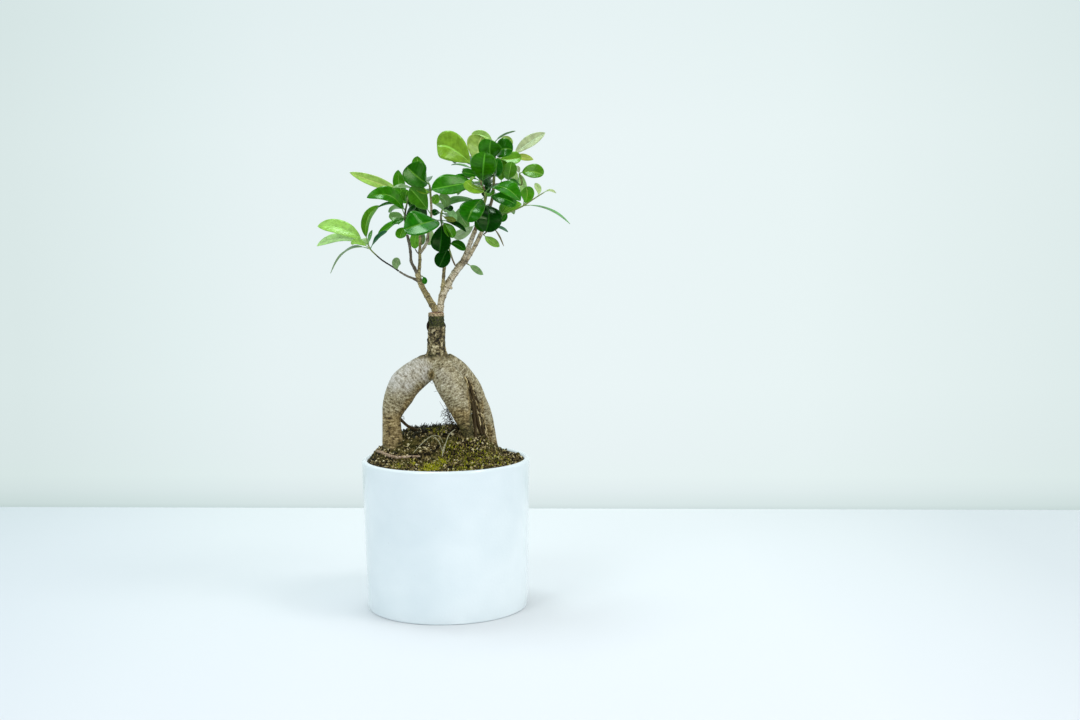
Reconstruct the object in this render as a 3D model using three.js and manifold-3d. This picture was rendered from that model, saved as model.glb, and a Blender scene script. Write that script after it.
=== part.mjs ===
// A ficus ginseng bonsai in its round white pot: swollen root legs, a cut neck and grafted leafy limbs.
// Millimetres, +Z up, the origin in the middle of the pot's flat underside and the front towards -Y.
import * as THREE from "three";
import Module from "manifold-3d";

const wasm = await Module();
wasm.setup();

// Driving dimensions
const POT_HEIGHT = 125;
const POT_TOP_RADIUS = 70;
const POT_FOOT_RADIUS = 67;
const POT_WALL = 5;
const POT_FLOOR = 8;
const POT_RIM_ROUND = 2.5;
const POT_FOOT_ROUND = 1.5;
const POT_INNER_ROUND = 2;
const POT_SIDES = 40;
const SOIL_EDGE_HEIGHT = 122.5;
const SOIL_MOUND = { x: -5, y: 10, height: 25.5, reachX: 46, reachY: 38, steepX: 5, steepY: 2.3 };
const SOIL_HEAPS = [
  { x: 18, y: -14, height: 8, reachX: 19.7, reachY: 19.7 },
  { x: -56, y: -4, height: 6.5, reachX: 9.5, reachY: 17.3 },
  { x: 58, y: 0, height: 3, reachX: 11, reachY: 20 },
];
const SOIL_RIM_FADE = 12;
const SOIL_RINGS = 7;
const GAP = 0.3;
const LYING_SHARE = 0.4;
const BLADE_THICKNESS = 0.75;
const PETIOLE_RADIUS = 0.6;
const PETIOLE_SHARE = 0.14;
const BLADE_FOLD = 0.28;
const BLADE_BASE_POWER = 0.8;
const BLADE_TIP_POWER = { slender: 0.8, broad: 0.5 };
const BLADE_PLUMPNESS = { slender: 0.12, broad: 0.3 };
const SMALL_BLADE = 5.6;
const BLADE_SHARES = [0, PETIOLE_SHARE, 0.3, 0.48, 0.66, 0.84, 1];
const SMALL_BLADE_SHARES = [0, PETIOLE_SHARE, 0.42, 0.72, 1];
const CROWN_DEPTH = 1.6;
const LIMB_SIDES = 6;
const STEM_SIDES = 5;
const LEG_SIDES = 12;
const ROOT_SIDES = 5;

// The plant is laid out as the eye sees it from the front: x and z are places in the plane y = 0,
// and each point then moves along its line of sight to its own depth y.
const EYE_DISTANCE = 1243;
const EYE_HEIGHT = 333;

// Routes of round pieces: x, y, z, radius
const NECK = [
  [-6.3, 0, 246.8, 6.4],
  [-6.2, 0, 240, 6.6],
  [-6.1, 0, 232, 7.2],
  [-6.4, 0, 224, 7.3],
  [-6.4, 0, 216, 7.9],
  [-6, 0, 208, 10],
  [-5, 0, 200, 10],
];
const LEFT_LEG = [
  [-6, 0, 203, 9.5],
  [-14, 0, 201, 11.2],
  [-23, -1, 195.5, 12],
  [-32, -2, 188, 12.9],
  [-38.5, -3, 177, 11.8],
  [-43.2, -4, 166, 9.2],
  [-44.7, -4.5, 159, 7.7],
  [-44.7, -5, 151, 7.6],
  [-43.9, -6, 138, 8.7],
  [-43.4, -7, 124, 8.8],
  [-43, -7, 112, 8],
];
const MIDDLE_LEG = [
  [-4, -2, 205, 9],
  [-0.5, -5, 197, 11.5],
  [4.3, -9, 187, 12.2],
  [9, -12, 177, 11.5],
  [12, -14, 167, 9.4],
  [14.9, -15, 157, 7.2],
  [17.8, -15.5, 147, 5],
  [19.4, -16, 138, 4.4],
  [20.4, -16, 112, 3.8],
];
const RIGHT_LEG = [
  [0, 2, 205.5, 8.4],
  [8.5, 4, 200, 8.6],
  [16.5, 6, 191.5, 8.5],
  [22.5, 8, 182.5, 8.1],
  [27.5, 9, 172, 7.3],
  [32.4, 10, 160, 6.6],
  [35.8, 10, 149, 5.5],
  [38.5, 9, 137, 4.5],
  [41.3, 9, 126, 4.3],
  [43, 9, 112, 4],
];
const HANGING_ROOTS = [
  [
    [16, 0, 194, 1.2],
    [20, -6, 187, 1.3],
    [22.5, -9, 179, 1.4],
    [24.3, -9, 170, 1.5],
    [25.8, -8, 160, 1.5],
    [28, -7, 150, 1.4],
    [31, -6, 140, 1.3],
    [33, -6, 124, 1.2],
  ],
  [
    [19, -11, 181, 1.5],
    [22.6, -12, 169, 1.4],
    [23.8, -13, 159, 1.3],
    [24.8, -15, 149, 1.3],
    [25.2, -17, 139, 1.2],
    [25.4, -17, 124, 1.1],
  ],
  [
    [23, 4, 184, 1.8],
    [26.3, -1, 170, 1.5],
    [29.3, -2, 156, 1.3],
    [31.6, -2, 146, 1.3],
    [35, -3, 136, 1.2],
    [36, -3, 122, 1.1],
  ],
];
const SIDE_ROOT = [
  [-40.5, -3, 161.5, 1.5],
  [-36, -3, 156.5, 1.3],
  [-31.5, -1, 152.2, 1.2],
  [-25.5, 2, 149.2, 1.2],
  [-20, 5, 145.5, 1.2],
  [-14, 8, 138, 1.2],
];

// The grafted limbs: left limb, its two upright twigs, the right twig's branch, the lateral twig, a dead
// twig end, right limb, its two forks, middle stem and two nubs of cut twigs
const LIMBS = [
  [
    [-7.2, 0, 247.2, 2.9],
    [-7.3, 0, 249.4, 2.9],
    [-9.3, -0.5, 253, 2.8],
    [-12.6, -1.5, 259, 2.55],
    [-16.5, -2.5, 266, 2.35],
    [-19.5, -3.5, 273, 2.3],
    [-21, -4, 279, 2.2],
  ],
  [
    [-20.5, -4, 277, 1.7],
    [-23.5, -5.5, 283.5, 1.4],
    [-26, -7, 288.5, 1.3],
    [-26.5, -8.5, 295, 1.2],
    [-27.2, -10, 302, 1.2],
    [-29, -12, 311, 1.1],
  ],
  [
    [-20.5, -4, 277, 1.8],
    [-19.5, -2, 284, 1.4],
    [-19, 1, 290, 1.3],
    [-19, 4, 297, 1.3],
    [-18.5, 8, 304, 1.2],
    [-18.5, 11, 310, 1.1],
  ],
  [
    [-18.8, 3.3, 295.5, 1.2],
    [-15, 4, 301, 1.3],
    [-12.5, 4, 306, 1.3],
    [-12, 3.5, 311, 1.2],
  ],
  [
    [-19.5, -3.4, 272, 1.4],
    [-24, -5.5, 274.7, 1],
    [-30, -8.5, 277.2, 0.9],
    [-36, -12, 280.8, 0.8],
  ],
  [
    [-19, 2.9, 294.5, 0.7],
    [-21, 2.2, 296.5, 0.55],
    [-22.8, 1.5, 299.3, 0.45],
  ],
  [
    [-2.8, 0, 247.2, 2.9],
    [-2.7, 0, 250, 2.9],
    [-2.3, 0.5, 254, 2.8],
    [-1.2, 1.2, 259, 3],
    [1, 2.2, 265, 3.2],
    [5, 3.4, 272, 3],
    [9.5, 4.6, 279, 2.9],
    [14, 5.6, 285, 3],
    [16, 6, 287.5, 2.9],
  ],
  [
    [14, 5.5, 284, 2.4],
    [17.5, 3, 291, 2.2],
    [20.5, 0, 298, 2.1],
    [23.5, -4, 306, 2],
    [27, -9, 314.5, 1.8],
  ],
  [
    [14.5, 6, 284.5, 2.4],
    [19.5, 8.5, 290, 2],
    [24, 11, 297, 1.9],
    [28, 13.5, 304, 1.8],
    [31, 15.5, 310, 1.7],
    [33.5, 18, 315, 1.6],
  ],
  [
    [-1, 1.5, 262.5, 1.6],
    [-0.5, 0, 267, 1.7],
    [0, -2, 273, 1.4],
    [0.6, -4, 280, 1.4],
    [1.2, -6, 287, 1.3],
    [1, -9, 296, 1.2],
    [0, -12, 305, 1.1],
    [-0.5, -16, 319, 1],
  ],
  [
    [-0.5, 0.5, 265.5, 1.3],
    [-2.4, -0.6, 268.4, 0.6],
  ],
  [
    [4.5, 2.8, 268, 2.2],
    [7.4, 2.4, 266.2, 0.9],
  ],
];

// The dead root that lies on the soil: x, y, radius
const SURFACE_ROOT = [
  [-57, -6, 0.9],
  [-53.5, -13, 1.3],
  [-48, -20, 1.4],
  [-40, -28, 1.3],
  [-30, -30, 1.2],
  [-21, -30, 0.9],
];

// Leafy shoots. A shoot's depth is the y that its stem starts at, and its rows' depths are drawn out from
// there. A stem row is x, y, z, radius. A leaf row is the stem row that it grows from, the middle of its
// midrib x, y, z, its tip x, y, z, its half width, and the way its upper face looks x, y, z.
const SHOOTS = {
  outer_left_shoot: {
    colour: 0x86ad3c,
    depth: -12.2,
    stem: [
      [-36.5, -3, 281.2, 0.75], [-40, -3, 283.8, 0.7], [-50, -1, 290.4, 0.65],
      [-55, 0, 294.8, 0.6], [-59.5, 1, 299.6, 0.6], [-61, 1, 303, 0.6]
    ],
    leaves: [
      [5, -82, 6, 316.6, -102, 10, 318.6, 7.3, 0, -8, 6],
      [5, -83.5, 16, 309, -103, 20, 302.4, 5.2, 0, -7, 6],
      [4, -69, -1, 305.6, -75, -2, 303.6, 2.7, 0, -9, 4],
      [5, -62.2, 2, 322.6, -51.4, 4, 335, 6, -6, -6, 4],
      [5, -60, 9, 309.5, -57.5, 12, 315.2, 1.6, 2, -9, 0],
      [4, -53.6, -1.5, 308.6, -45.4, -2, 314, 3.8, -5, -5, 7],
      [4, -79, 12, 299, -92.4, 18, 280, 3.8, -5, -1, 8],
      [0, -38.6, -3.5, 286.8, -35.8, -4, 291.2, 3.8, 2, -9, 2],
      [4, -66, 12, 307, -74, 20, 303, 4.6, 0, -3, 9]
    ]
  },
  upper_left_spray: {
    colour: 0x4c8a1c,
    depth: -12.3,
    stem: [
      [-29.2, -1, 311.5, 1.05], [-30, -1.5, 318, 1], [-30.6, -2, 325, 0.95],
      [-30, 0, 331, 0.8], [-28.5, 6, 338, 0.7], [-28, 12, 345, 0.6]
    ],
    leaves: [
      [2, -41.2, -8, 343, -61.4, -8, 341.6, 7.2, 0, -8, 6],
      [3, -40.8, -3, 337, -53.6, -4, 333, 1.8, 0, -6, 7],
      [5, -52.5, 18, 353.8, -75, 20, 362.2, 4.8, -1, -9, 4],
      [4, -34.4, 11, 350.6, -35.4, 12, 364, 5, -1, -9, 2],
      [2, -37, 1, 325.8, -43.6, 1, 325.4, 4.6, 0, -8, 5],
      [2, -35, -5, 323, -41.5, -7, 319.6, 2.3, 1, -8, 5],
      [2, -42, 7, 319, -53, 10, 311.8, 4.4, 0, -7, 7],
      [1, -33.4, -3, 313.6, -35, -4, 308, 4.6, -1, -9, 2],
      [2, -26.6, -7, 330, -21.6, -11, 333.4, 4.4, 0, -8, 5],
      [4, -29.5, 1, 342.6, -28, -2, 347.6, 5, 1, -8, 4],
      [5, -35, 20, 350, -41, 28, 346, 5.5, 0, -3, 9],
      [3, -37, 12, 333.5, -44, 17, 329.5, 4.8, 0, -7, 6],
      [2, -33, 13, 325.5, -36, 23, 319.5, 5.2, 0, -3, 9]
    ]
  },
  centre_left_spray: {
    colour: 0x3f7424,
    depth: 11.3,
    stem: [
      [-18.5, 4, 310.5, 1.05], [-18, 5, 318, 1], [-17.5, 6, 326, 0.9],
      [-17.5, 6, 334, 0.8], [-18, 5, 342, 0.7], [-19, 4, 347, 0.6]
    ],
    leaves: [
      [5, -29, -4, 350.4, -41, -5, 349.4, 4, 0, -4, 8],
      [1, -22, 9, 309, -22.8, 11, 299.5, 4.6, 0, -9, -1],
      [1, -16.5, 9, 309, -17, 10, 302.5, 2.4, 1, -9, 0],
      [3, -22, 3, 338, -27.5, 2, 335.5, 4.5, 0, -8, 5],
      [4, -27.6, 4.8, 342.2, -35, 5.2, 338.8, 5.2, 0, -9, 3],
      [3, -21, 18, 338, -24, 27, 331, 6, 0, -4, 9],
      [4, -15, 17, 349, -12, 27, 344, 6, 1, -3, 9],
      [2, -20, 16, 325, -25, 26, 318, 5.2, 0, -4, 9]
    ]
  },
  centre_twig_spray: {
    colour: 0x3b7d33,
    depth: 3.3,
    stem: [
      [-12, 3, 311.5, 1.1], [-10.5, 2, 319, 1.05], [-9, -1, 327, 1],
      [-9, -3, 337, 1], [-9.5, -4, 346, 0.9], [-10, -4, 351.5, 0.8]
    ],
    leaves: [
      [5, -18, -9, 357.6, -28.6, -9, 366.6, 12, -2, -8, 6],
      [5, -18, 3, 364, -19.4, 6, 375, 5.6, 1, -9, 2],
      [2, -18.8, -8, 340.8, -26.4, -12, 349, 8.4, 1, -9, 2],
      [1, -18.4, -5, 331, -25, -7.5, 336.4, 6.4, 0, -9, 3],
      [4, -15, -7, 346.8, -21.5, -9, 349.5, 3.6, 0, -8, 5],
      [1, -10, 9, 309, -12, 10, 302.5, 3.8, 0, -9, -2],
      [3, -6, 1, 338.6, -4, 3, 344, 3.6, 0, -9, 0],
      [4, -4.5, 8, 348, 0, 16, 343, 5.8, 1, -4, 9],
      [3, -3, 13, 336, 2.5, 23, 329, 5.8, 0, -4, 9],
      [5, -13, 13, 358, -15, 24, 355, 6, 0, -2, 9]
    ]
  },
  middle_spray: {
    colour: 0x2f6f1e,
    depth: -16.3,
    stem: [
      [-0.5, -3, 319.7, 0.95], [-1, -4.5, 322.5, 0.95], [-1, -6, 327, 0.8], [0, -5, 331, 0.7]
    ],
    leaves: [
      [1, -13.8, -20, 321.6, -31.6, -22, 315.6, 12.4, 0, -8, 6],
      [1, -1.1, -10, 308.4, -2.8, -11, 296.6, 8.2, 0, -9, 3],
      [1, 5, -8, 315.4, 8.5, -10, 308, 4.6, 2, -9, 2],
      [1, 10, -7, 320, 19.5, -9, 312.8, 3, 0, -5, 8],
      [2, 6, -8, 323.5, 11.5, -8, 322.8, 2.4, 0, -8, 5],
      [3, 4, -6, 333, 8, -7, 330.4, 3.8, 0, -5, 8],
      [2, -4, -9, 330, -7.4, -10, 326.6, 3.4, 0, -6, 7],
      [3, 3, -7, 337.6, -2.5, -9, 342.2, 4.8, 1, -8, 4],
      [3, 7, 3, 328.4, 11, 4, 321, 3.4, 0, -9, 2],
      [2, 4, 8, 328, 8, 17, 322, 5.2, 0, -4, 9]
    ]
  },
  hanging_spray: {
    colour: 0x1d4f1a,
    depth: 4.6,
    stem: [
      [9.9, -0.5, 285.6, 0.7], [8, -4, 290, 0.75], [6.3, -9, 295.5, 0.75],
      [5, -14, 300.5, 0.7], [4.8, -15, 302, 0.6]
    ],
    leaves: [
      [3, 1, -17, 293, -3.2, -18, 284, 6.6, -2, -9, 2],
      [4, 11.5, -15, 303, 18.2, -15, 297.6, 4, 2, -8, 4]
    ]
  },
  right_low_spray: {
    colour: 0x2c6420,
    depth: -9.4,
    stem: [
      [27.2, -3, 315, 1.7], [29, -4, 320, 1.6], [32, -5, 328, 1.5],
      [34.5, -6, 336, 1.4], [36, -6, 342, 1.3], [35.5, -6, 345.4, 1.2]
    ],
    leaves: [
      [4, 26, -22, 333, 20.5, -24, 321.4, 9.8, -2, -9, 2],
      [3, 38.6, -20, 327.4, 35.8, -22, 312.8, 10.4, 1, -9, 2],
      [2, 30, -13, 320.6, 34, -16, 312.8, 3.8, -2, -9, 1],
      [1, 17, 4, 312.2, 9, 6, 308.6, 4.6, 0, -8, -4],
      [3, 14, 4, 340.4, 4.5, 6, 334.2, 3.8, 0, -7, -6],
      [2, 17, 6, 327, 22, 10, 316, 6.5, 0, -10, 1],
      [5, 50, -20, 350.2, 64.6, -23, 338, 8.4, 1, -7, 7],
      [4, 50.5, -14, 340.4, 61, -14, 335, 7, 0, -8, 5],
      [5, 39, -12, 343.8, 43.5, -14, 346.8, 2.5, 0, -8, 5],
      [3, 27, 9, 338, 20, 18, 334, 6, 0, -3, 9]
    ]
  },
  right_top_spray: {
    colour: 0x4d9128,
    depth: -14.2,
    stem: [
      [35.1, -6, 347, 1.1], [33.5, -6, 350, 1.1], [32, -6, 354, 1],
      [30.5, -4, 359, 0.9], [29, -2, 363, 0.8]
    ],
    leaves: [
      [1, 27.4, -24, 349.6, 20, -26, 354.6, 8.2, 1, -8, 5],
      [2, 12, -16, 352.2, -8.4, -20, 348.2, 10, -1, -8, 5],
      [1, 34.2, -22, 365.2, 36, -24, 377.6, 10.4, 0, -9, 4],
      [3, 24, -8, 360.6, 16.6, -10, 362, 4.2, 0, -8, 4],
      [2, 20, -9, 358.4, 6, -13, 355.6, 3.2, 0, -6, 7],
      [4, 10.4, -6, 380.6, -3.4, -4, 383.6, 13, -1, -9, 4],
      [4, 16, 2, 368, 8, 4, 367.6, 2.8, 0, -1, 10],
      [4, 30.5, 6, 380.8, 33.2, 8, 391, 10.4, 0, -10, 2],
      [3, 25, 13, 365, 20, 23, 359, 6.5, 0, -4, 9],
      [4, 18, 14, 373, 11, 23, 369, 7.5, 0, -3, 9],
      [1, 21, 10, 350, 13, 18, 343, 6, 0, -4, 9]
    ]
  },
  crown_spray: {
    colour: 0x2d6a14,
    depth: 18.3,
    stem: [
      [33.7, 7, 315.5, 1.55], [36, 9, 323, 1.5], [39, 8.5, 332, 1.4], [41.5, 7, 341, 1.35],
      [42.5, 5, 350, 1.3], [43, 3, 358, 1.2], [43.5, 3, 366, 1.1], [44, 5, 373, 0.9],
      [44, 9, 381, 0.7], [44, 12, 386, 0.6]
    ],
    leaves: [
      [5, 44.6, -9.6, 363.4, 46.4, -11.6, 373, 5.8, -1, -9, 1],
      [6, 40, -7, 378.4, 41, -9, 387.6, 9.6, 0, -9, 3],
      [7, 48.6, -4, 380.4, 58.8, -5, 380, 8.8, 0, -9, 4],
      [9, 34.6, 15, 391.6, 25, 17, 392.6, 4, 0, -9, 3],
      [9, 51, 14, 392, 61, 15, 395, 4, -2, 0, 10],
      [4, 38.6, -4, 354.6, 37.6, -7, 361, 6.2, 0, -9, 3],
      [4, 37.4, 3, 348, 34.4, 2, 341.6, 3.6, 0, -8, 4],
      [5, 48, 15, 363, 53, 25, 356, 7, 0, -4, 9],
      [7, 38, 18, 378, 33, 29, 373, 7.5, 0, -3, 9],
      [6, 52, 15, 372, 59, 25, 368, 6.2, 0, -3, 9],
      [4, 35, 16, 354, 28, 27, 347, 7, 0, -4, 9],
      [3, 47, 14, 344, 54, 24, 339, 6.5, 0, -3, 9],
      [2, 33, 17, 334, 27, 27, 328, 6, 0, -4, 9]
    ]
  },
  right_spray: {
    colour: 0x5c9433,
    depth: 12.4,
    stem: [
      [44.3, 3.5, 351.5, 1], [49, 2, 352, 1], [54, 0, 353, 0.9], [60, -1, 352, 0.9],
      [65.5, -1, 351.2, 0.8], [65.5, -1, 355.6, 0.8], [64, -1, 360.2, 0.7]
    ],
    leaves: [
      [2, 56, -8, 361.6, 57.6, -10, 370, 5.6, 1, -9, 0],
      [1, 49, 0, 362.2, 49.8, -1, 371.6, 6.6, -1, -9, 1],
      [6, 72.4, -4, 362.4, 83.8, -6, 359.4, 7, 0, -8, 5],
      [6, 63, -3, 363.6, 61.5, -4, 366.6, 2, 1, -9, 2],
      [4, 61, -5, 352.8, 56, -8, 355.8, 2.6, 1, -8, 4],
      [3, 60, -4, 357.5, 58.6, -6, 363, 3, 0, -9, 3],
      [2, 57, 11, 357, 62, 20, 352, 5.6, 0, -3, 9]
    ]
  },
  light_top_shoot: {
    colour: 0x9fbb52,
    depth: 14.9,
    stem: [
      [45.5, 5, 372.6, 0.8], [51, 7, 372.4, 0.75], [57, 8, 373.8, 0.7]
    ],
    leaves: [
      [2, 70.4, 10, 384.6, 85.4, 12, 393.4, 6, -3, -8, 5],
      [2, 66, 8, 373.8, 75.5, 9, 371.6, 3.2, 0, -8, 4],
      [1, 52.8, 10, 382.8, 54.8, 11, 391, 5.6, 0, -10, 1],
      [0, 55.6, 3, 372.4, 65.6, 2, 373.8, 6.4, 0, -8, 5]
    ]
  },
  light_right_shoot: {
    colour: 0x8fae45,
    depth: 20.5,
    stem: [
      [38.8, 5.5, 324.5, 0.8], [46, 2, 325.5, 0.8], [54, -2, 328.4, 0.8], [61, -4, 331.2, 0.75],
      [67, -5, 334, 0.7], [73, -5, 337.8, 0.6], [79, -5, 341.6, 0.5], [84, -5, 344.6, 0.45]
    ],
    leaves: [
      [1, 56, -8, 332.8, 65.4, -9, 335.4, 4.6, 0, -8, 5],
      [1, 50, -3, 331, 53, -5, 335.6, 4.2, -1, -9, 2],
      [6, 79.5, -3, 347.2, 76.5, -2, 352.2, 2.8, 3, -9, 1],
      [7, 89, -6, 346.4, 94, -7, 344, 1.6, 0, -6, 7],
      [4, 87, -6, 331.4, 105.4, -10, 318.6, 3.2, 3, -2, 9],
      [4, 70.2, -6, 341.8, 69.2, -7, 349.4, 5.8, 0, -10, 0],
      [4, 67.2, 1, 348.4, 63.6, 2, 360.4, 3.2, -1, -9, 1],
      [2, 51.5, -5, 324.6, 48.5, -6, 321, 2.4, 2, -8, 4],
      [2, 55, 9, 331, 59, 17, 327, 4.4, 0, -3, 9]
    ]
  },
  low_right_shoot: {
    colour: 0x6d9a3a,
    depth: 15.1,
    stem: [
      [33.7, 5.6, 310.5, 0.6], [37, 4, 313.2, 0.6], [42, 2, 316.4, 0.6]
    ],
    leaves: [
      [0, 39.5, 2, 305.4, 46.8, 0, 300.4, 3.8, 0, -8, 5],
      [2, 46.6, 0, 309.8, 50.4, -1, 300.8, 3, 8, 0, 5],
      [2, 48, 3, 316, 54, 4, 312.4, 2.2, 0, -6, 8]
    ]
  },
  limb_leaf: {
    colour: 0x9bab8a,
    depth: 9.6,
    stem: [[19.2, 3.4, 287, 0.6], [21, 5.5, 286, 0.6]],
    leaves: [[1, 26.5, 8, 282.2, 33, 12, 277.6, 3, -2, -8, 4]]
  },
  fork_leaf: {
    colour: 0x7f9b60,
    depth: -5.6,
    stem: [[-18, -1.7, 277, 0.5], [-17, -2.6, 276.6, 0.5]],
    leaves: [[1, -15.6, -3.4, 274.2, -15.3, -3.4, 270.2, 2.2, 1, -9, 1]]
  }
};

// Where a stem row and a leaf row hold their depths
const STEM_Y = 1;
const LEAF_YS = [2, 5];

// A point seen at x, z in the plane y = 0, at its own depth y
function seen(x, y, z) {
  const reach = 1 + y / EYE_DISTANCE;
  return new THREE.Vector3(x * reach, y, EYE_HEIGHT + (z - EYE_HEIGHT) * reach);
}

// A closed solid from shared vertices and triangles of indices
function solid(vertices, triangles) {
  const vertProperties = new Float32Array(vertices.flatMap((v) => [v.x, v.y, v.z]));
  const triVerts = new Uint32Array(triangles.flat());
  return new wasm.Manifold(new wasm.Mesh({ numProp: 3, vertProperties, triVerts }));
}

// Rings of equally many points, one after the other, skinned and closed; each cap is a list of triangles
function skin(rings, cap) {
  const count = rings[0].length;
  const triangles = [];
  for (let ring = 0; ring + 1 < rings.length; ring++) {
    for (let i = 0; i < count; i++) {
      const a = ring * count + i;
      const b = ring * count + ((i + 1) % count);
      triangles.push([a, b, b + count], [a, b + count, a + count]);
    }
  }
  const last = (rings.length - 1) * count;
  for (const [a, b, c] of cap) {
    triangles.push([a, c, b], [last + a, last + b, last + c]);
  }
  return solid(rings.flat(), triangles);
}

// A row of a shoot with the depths at the given places of the row drawn out from where the shoot starts
function drawnOut({ depth, stem }, row, ...places) {
  return row.map((value, i) => (places.includes(i) ? depth + CROWN_DEPTH * (value - stem[0][1]) : value));
}

// A row x, y, z, radius of a route that the front view gave, at its own depth
function seenRow([x, y, z, radius]) {
  return { centre: seen(x, y, z), radius };
}

// A row x, y, radius of a route that lies on the soil, sunk into it a little
function lyingRow([x, y, radius]) {
  return { centre: new THREE.Vector3(x, y, soilHeight(x, y) + LYING_SHARE * radius), radius };
}

// A round piece along a route, with a ring at each row, thicker by grow all round and at both ends
function roundPiece(route, sides, grow = 0) {
  const curve = new THREE.CatmullRomCurve3(route.map((row) => row.centre), false, "centripetal");
  const last = route.length - 1;
  let side = new THREE.Vector3(0, 1, 0);
  const rings = route.map((row, i) => {
    const along = curve.getTangent(i / last);
    const centre = row.centre.clone();
    if (i === 0) centre.addScaledVector(along, -grow);
    if (i === last) centre.addScaledVector(along, grow);
    side = side.clone().addScaledVector(along, -side.dot(along)).normalize();
    const other = new THREE.Vector3().crossVectors(along, side);
    const radius = row.radius + grow;
    return Array.from({ length: sides }, (_, k) => {
      const angle = (2 * Math.PI * k) / sides;
      return centre.clone()
        .addScaledVector(side, radius * Math.cos(angle))
        .addScaledVector(other, radius * Math.sin(angle));
    });
  });
  const fan = Array.from({ length: sides - 2 }, (_, k) => [0, k + 1, k + 2]);
  return skin(rings, fan);
}

function joined(solids) {
  return solids.reduce((all, next) => all.add(next));
}

// Width of a blade at a share of its length, as a share of its greatest width. Plumpness is its half width
// over its length: a broad blade has a rounder end, and a slender one a sharper tip
function bladeShape(share, plumpness) {
  const { slender, broad } = BLADE_PLUMPNESS;
  const breadth = THREE.MathUtils.clamp((plumpness - slender) / (broad - slender), 0, 1);
  const tipPower = THREE.MathUtils.lerp(BLADE_TIP_POWER.slender, BLADE_TIP_POWER.broad, breadth);
  const shape = (s) => Math.pow(s, BLADE_BASE_POWER) * Math.pow(1 - s, tipPower);
  return shape(share) / shape(BLADE_BASE_POWER / (BLADE_BASE_POWER + tipPower));
}

// A leaf: a stalk, then a thin blade folded along its midrib, evenly about the line that the row gives
function leaf(stem, [row, midX, midY, midZ, tipX, tipY, tipZ, halfWidth, faceX, faceY, faceZ]) {
  const base = seen(...stem[row].slice(0, 3));
  const middle = seen(midX, midY, midZ);
  const tip = seen(tipX, tipY, tipZ);
  const bend = middle.clone().multiplyScalar(2).addScaledVector(base, -0.5).addScaledVector(tip, -0.5);
  const midrib = new THREE.QuadraticBezierCurve3(base, bend, tip);
  const face = new THREE.Vector3(faceX, faceY, faceZ).normalize();
  const shares = halfWidth < SMALL_BLADE ? SMALL_BLADE_SHARES : BLADE_SHARES;
  const plumpness = halfWidth / (base.distanceTo(middle) + middle.distanceTo(tip));
  const rings = shares.map((share) => {
    const along = midrib.getTangent(share);
    const up = face.clone().addScaledVector(along, -face.dot(along)).normalize();
    const right = new THREE.Vector3().crossVectors(up, along);
    const blade = Math.max(0, (share - PETIOLE_SHARE) / (1 - PETIOLE_SHARE));
    const half = Math.max(PETIOLE_RADIUS, halfWidth * bladeShape(blade, plumpness));
    const thickness = blade > 0 ? BLADE_THICKNESS : 2 * PETIOLE_RADIUS;
    const rise = 0.5 * half * BLADE_FOLD * Math.min(1, 4 * blade);
    const centre = midrib.getPoint(share);
    const at = (across, height) =>
      centre.clone().addScaledVector(right, across).addScaledVector(up, height);
    return [
      at(half, rise + thickness / 2),
      at(0, -rise + thickness / 2),
      at(-half, rise + thickness / 2),
      at(-half, rise - thickness / 2),
      at(0, -rise - thickness / 2),
      at(half, rise - thickness / 2)
    ];
  });
  return skin(rings, [[0, 1, 4], [0, 4, 5], [1, 2, 3], [1, 3, 4]]);
}

function leafyShoot(shoot) {
  const stem = shoot.stem.map((row) => drawnOut(shoot, row, STEM_Y));
  const leaves = shoot.leaves.map((row) => drawnOut(shoot, row, ...LEAF_YS));
  const stalk = roundPiece(stem.map(seenRow), STEM_SIDES);
  return joined([stalk, ...leaves.map((row) => leaf(stem, row))]);
}

// Height of the soil's surface: a broad mound round the roots, with lesser heaps and crumbs on it
function soilHeight(x, y) {
  const mound = SOIL_MOUND.height * Math.exp(
    -Math.pow(Math.abs(x - SOIL_MOUND.x) / SOIL_MOUND.reachX, SOIL_MOUND.steepX)
    - Math.pow(Math.abs(y - SOIL_MOUND.y) / SOIL_MOUND.reachY, SOIL_MOUND.steepY)
  );
  const heaps = SOIL_HEAPS.map((heap) => heap.height * Math.exp(
    -Math.pow((x - heap.x) / heap.reachX, 2) - Math.pow((y - heap.y) / heap.reachY, 2)
  ));
  const crumbs = 0.7 * Math.sin(0.31 * x + 0.5) * Math.cos(0.27 * y) + 0.4 * Math.sin(0.55 * y + 0.4 * x);
  const inside = Math.min(1, (POT_TOP_RADIUS - Math.hypot(x, y)) / SOIL_RIM_FADE);
  return SOIL_EDGE_HEIGHT + mound + (heaps.reduce((sum, heap) => sum + heap) + crumbs) * inside;
}

const INNER_TOP_RADIUS = POT_TOP_RADIUS - POT_WALL;
const INNER_FOOT_RADIUS = POT_FOOT_RADIUS - POT_WALL;

// A turned profile of radius, height on the Z axis
function turned(profile, sides) {
  const geometry = new THREE.LatheGeometry(profile.map(([r, z]) => new THREE.Vector2(r, z)), sides);
  return geometry.rotateX(Math.PI / 2);
}

// The height or radius that a round of this size still lacks halfway along its arc
function chamfer(round) {
  return round * (1 - Math.SQRT1_2);
}

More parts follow.
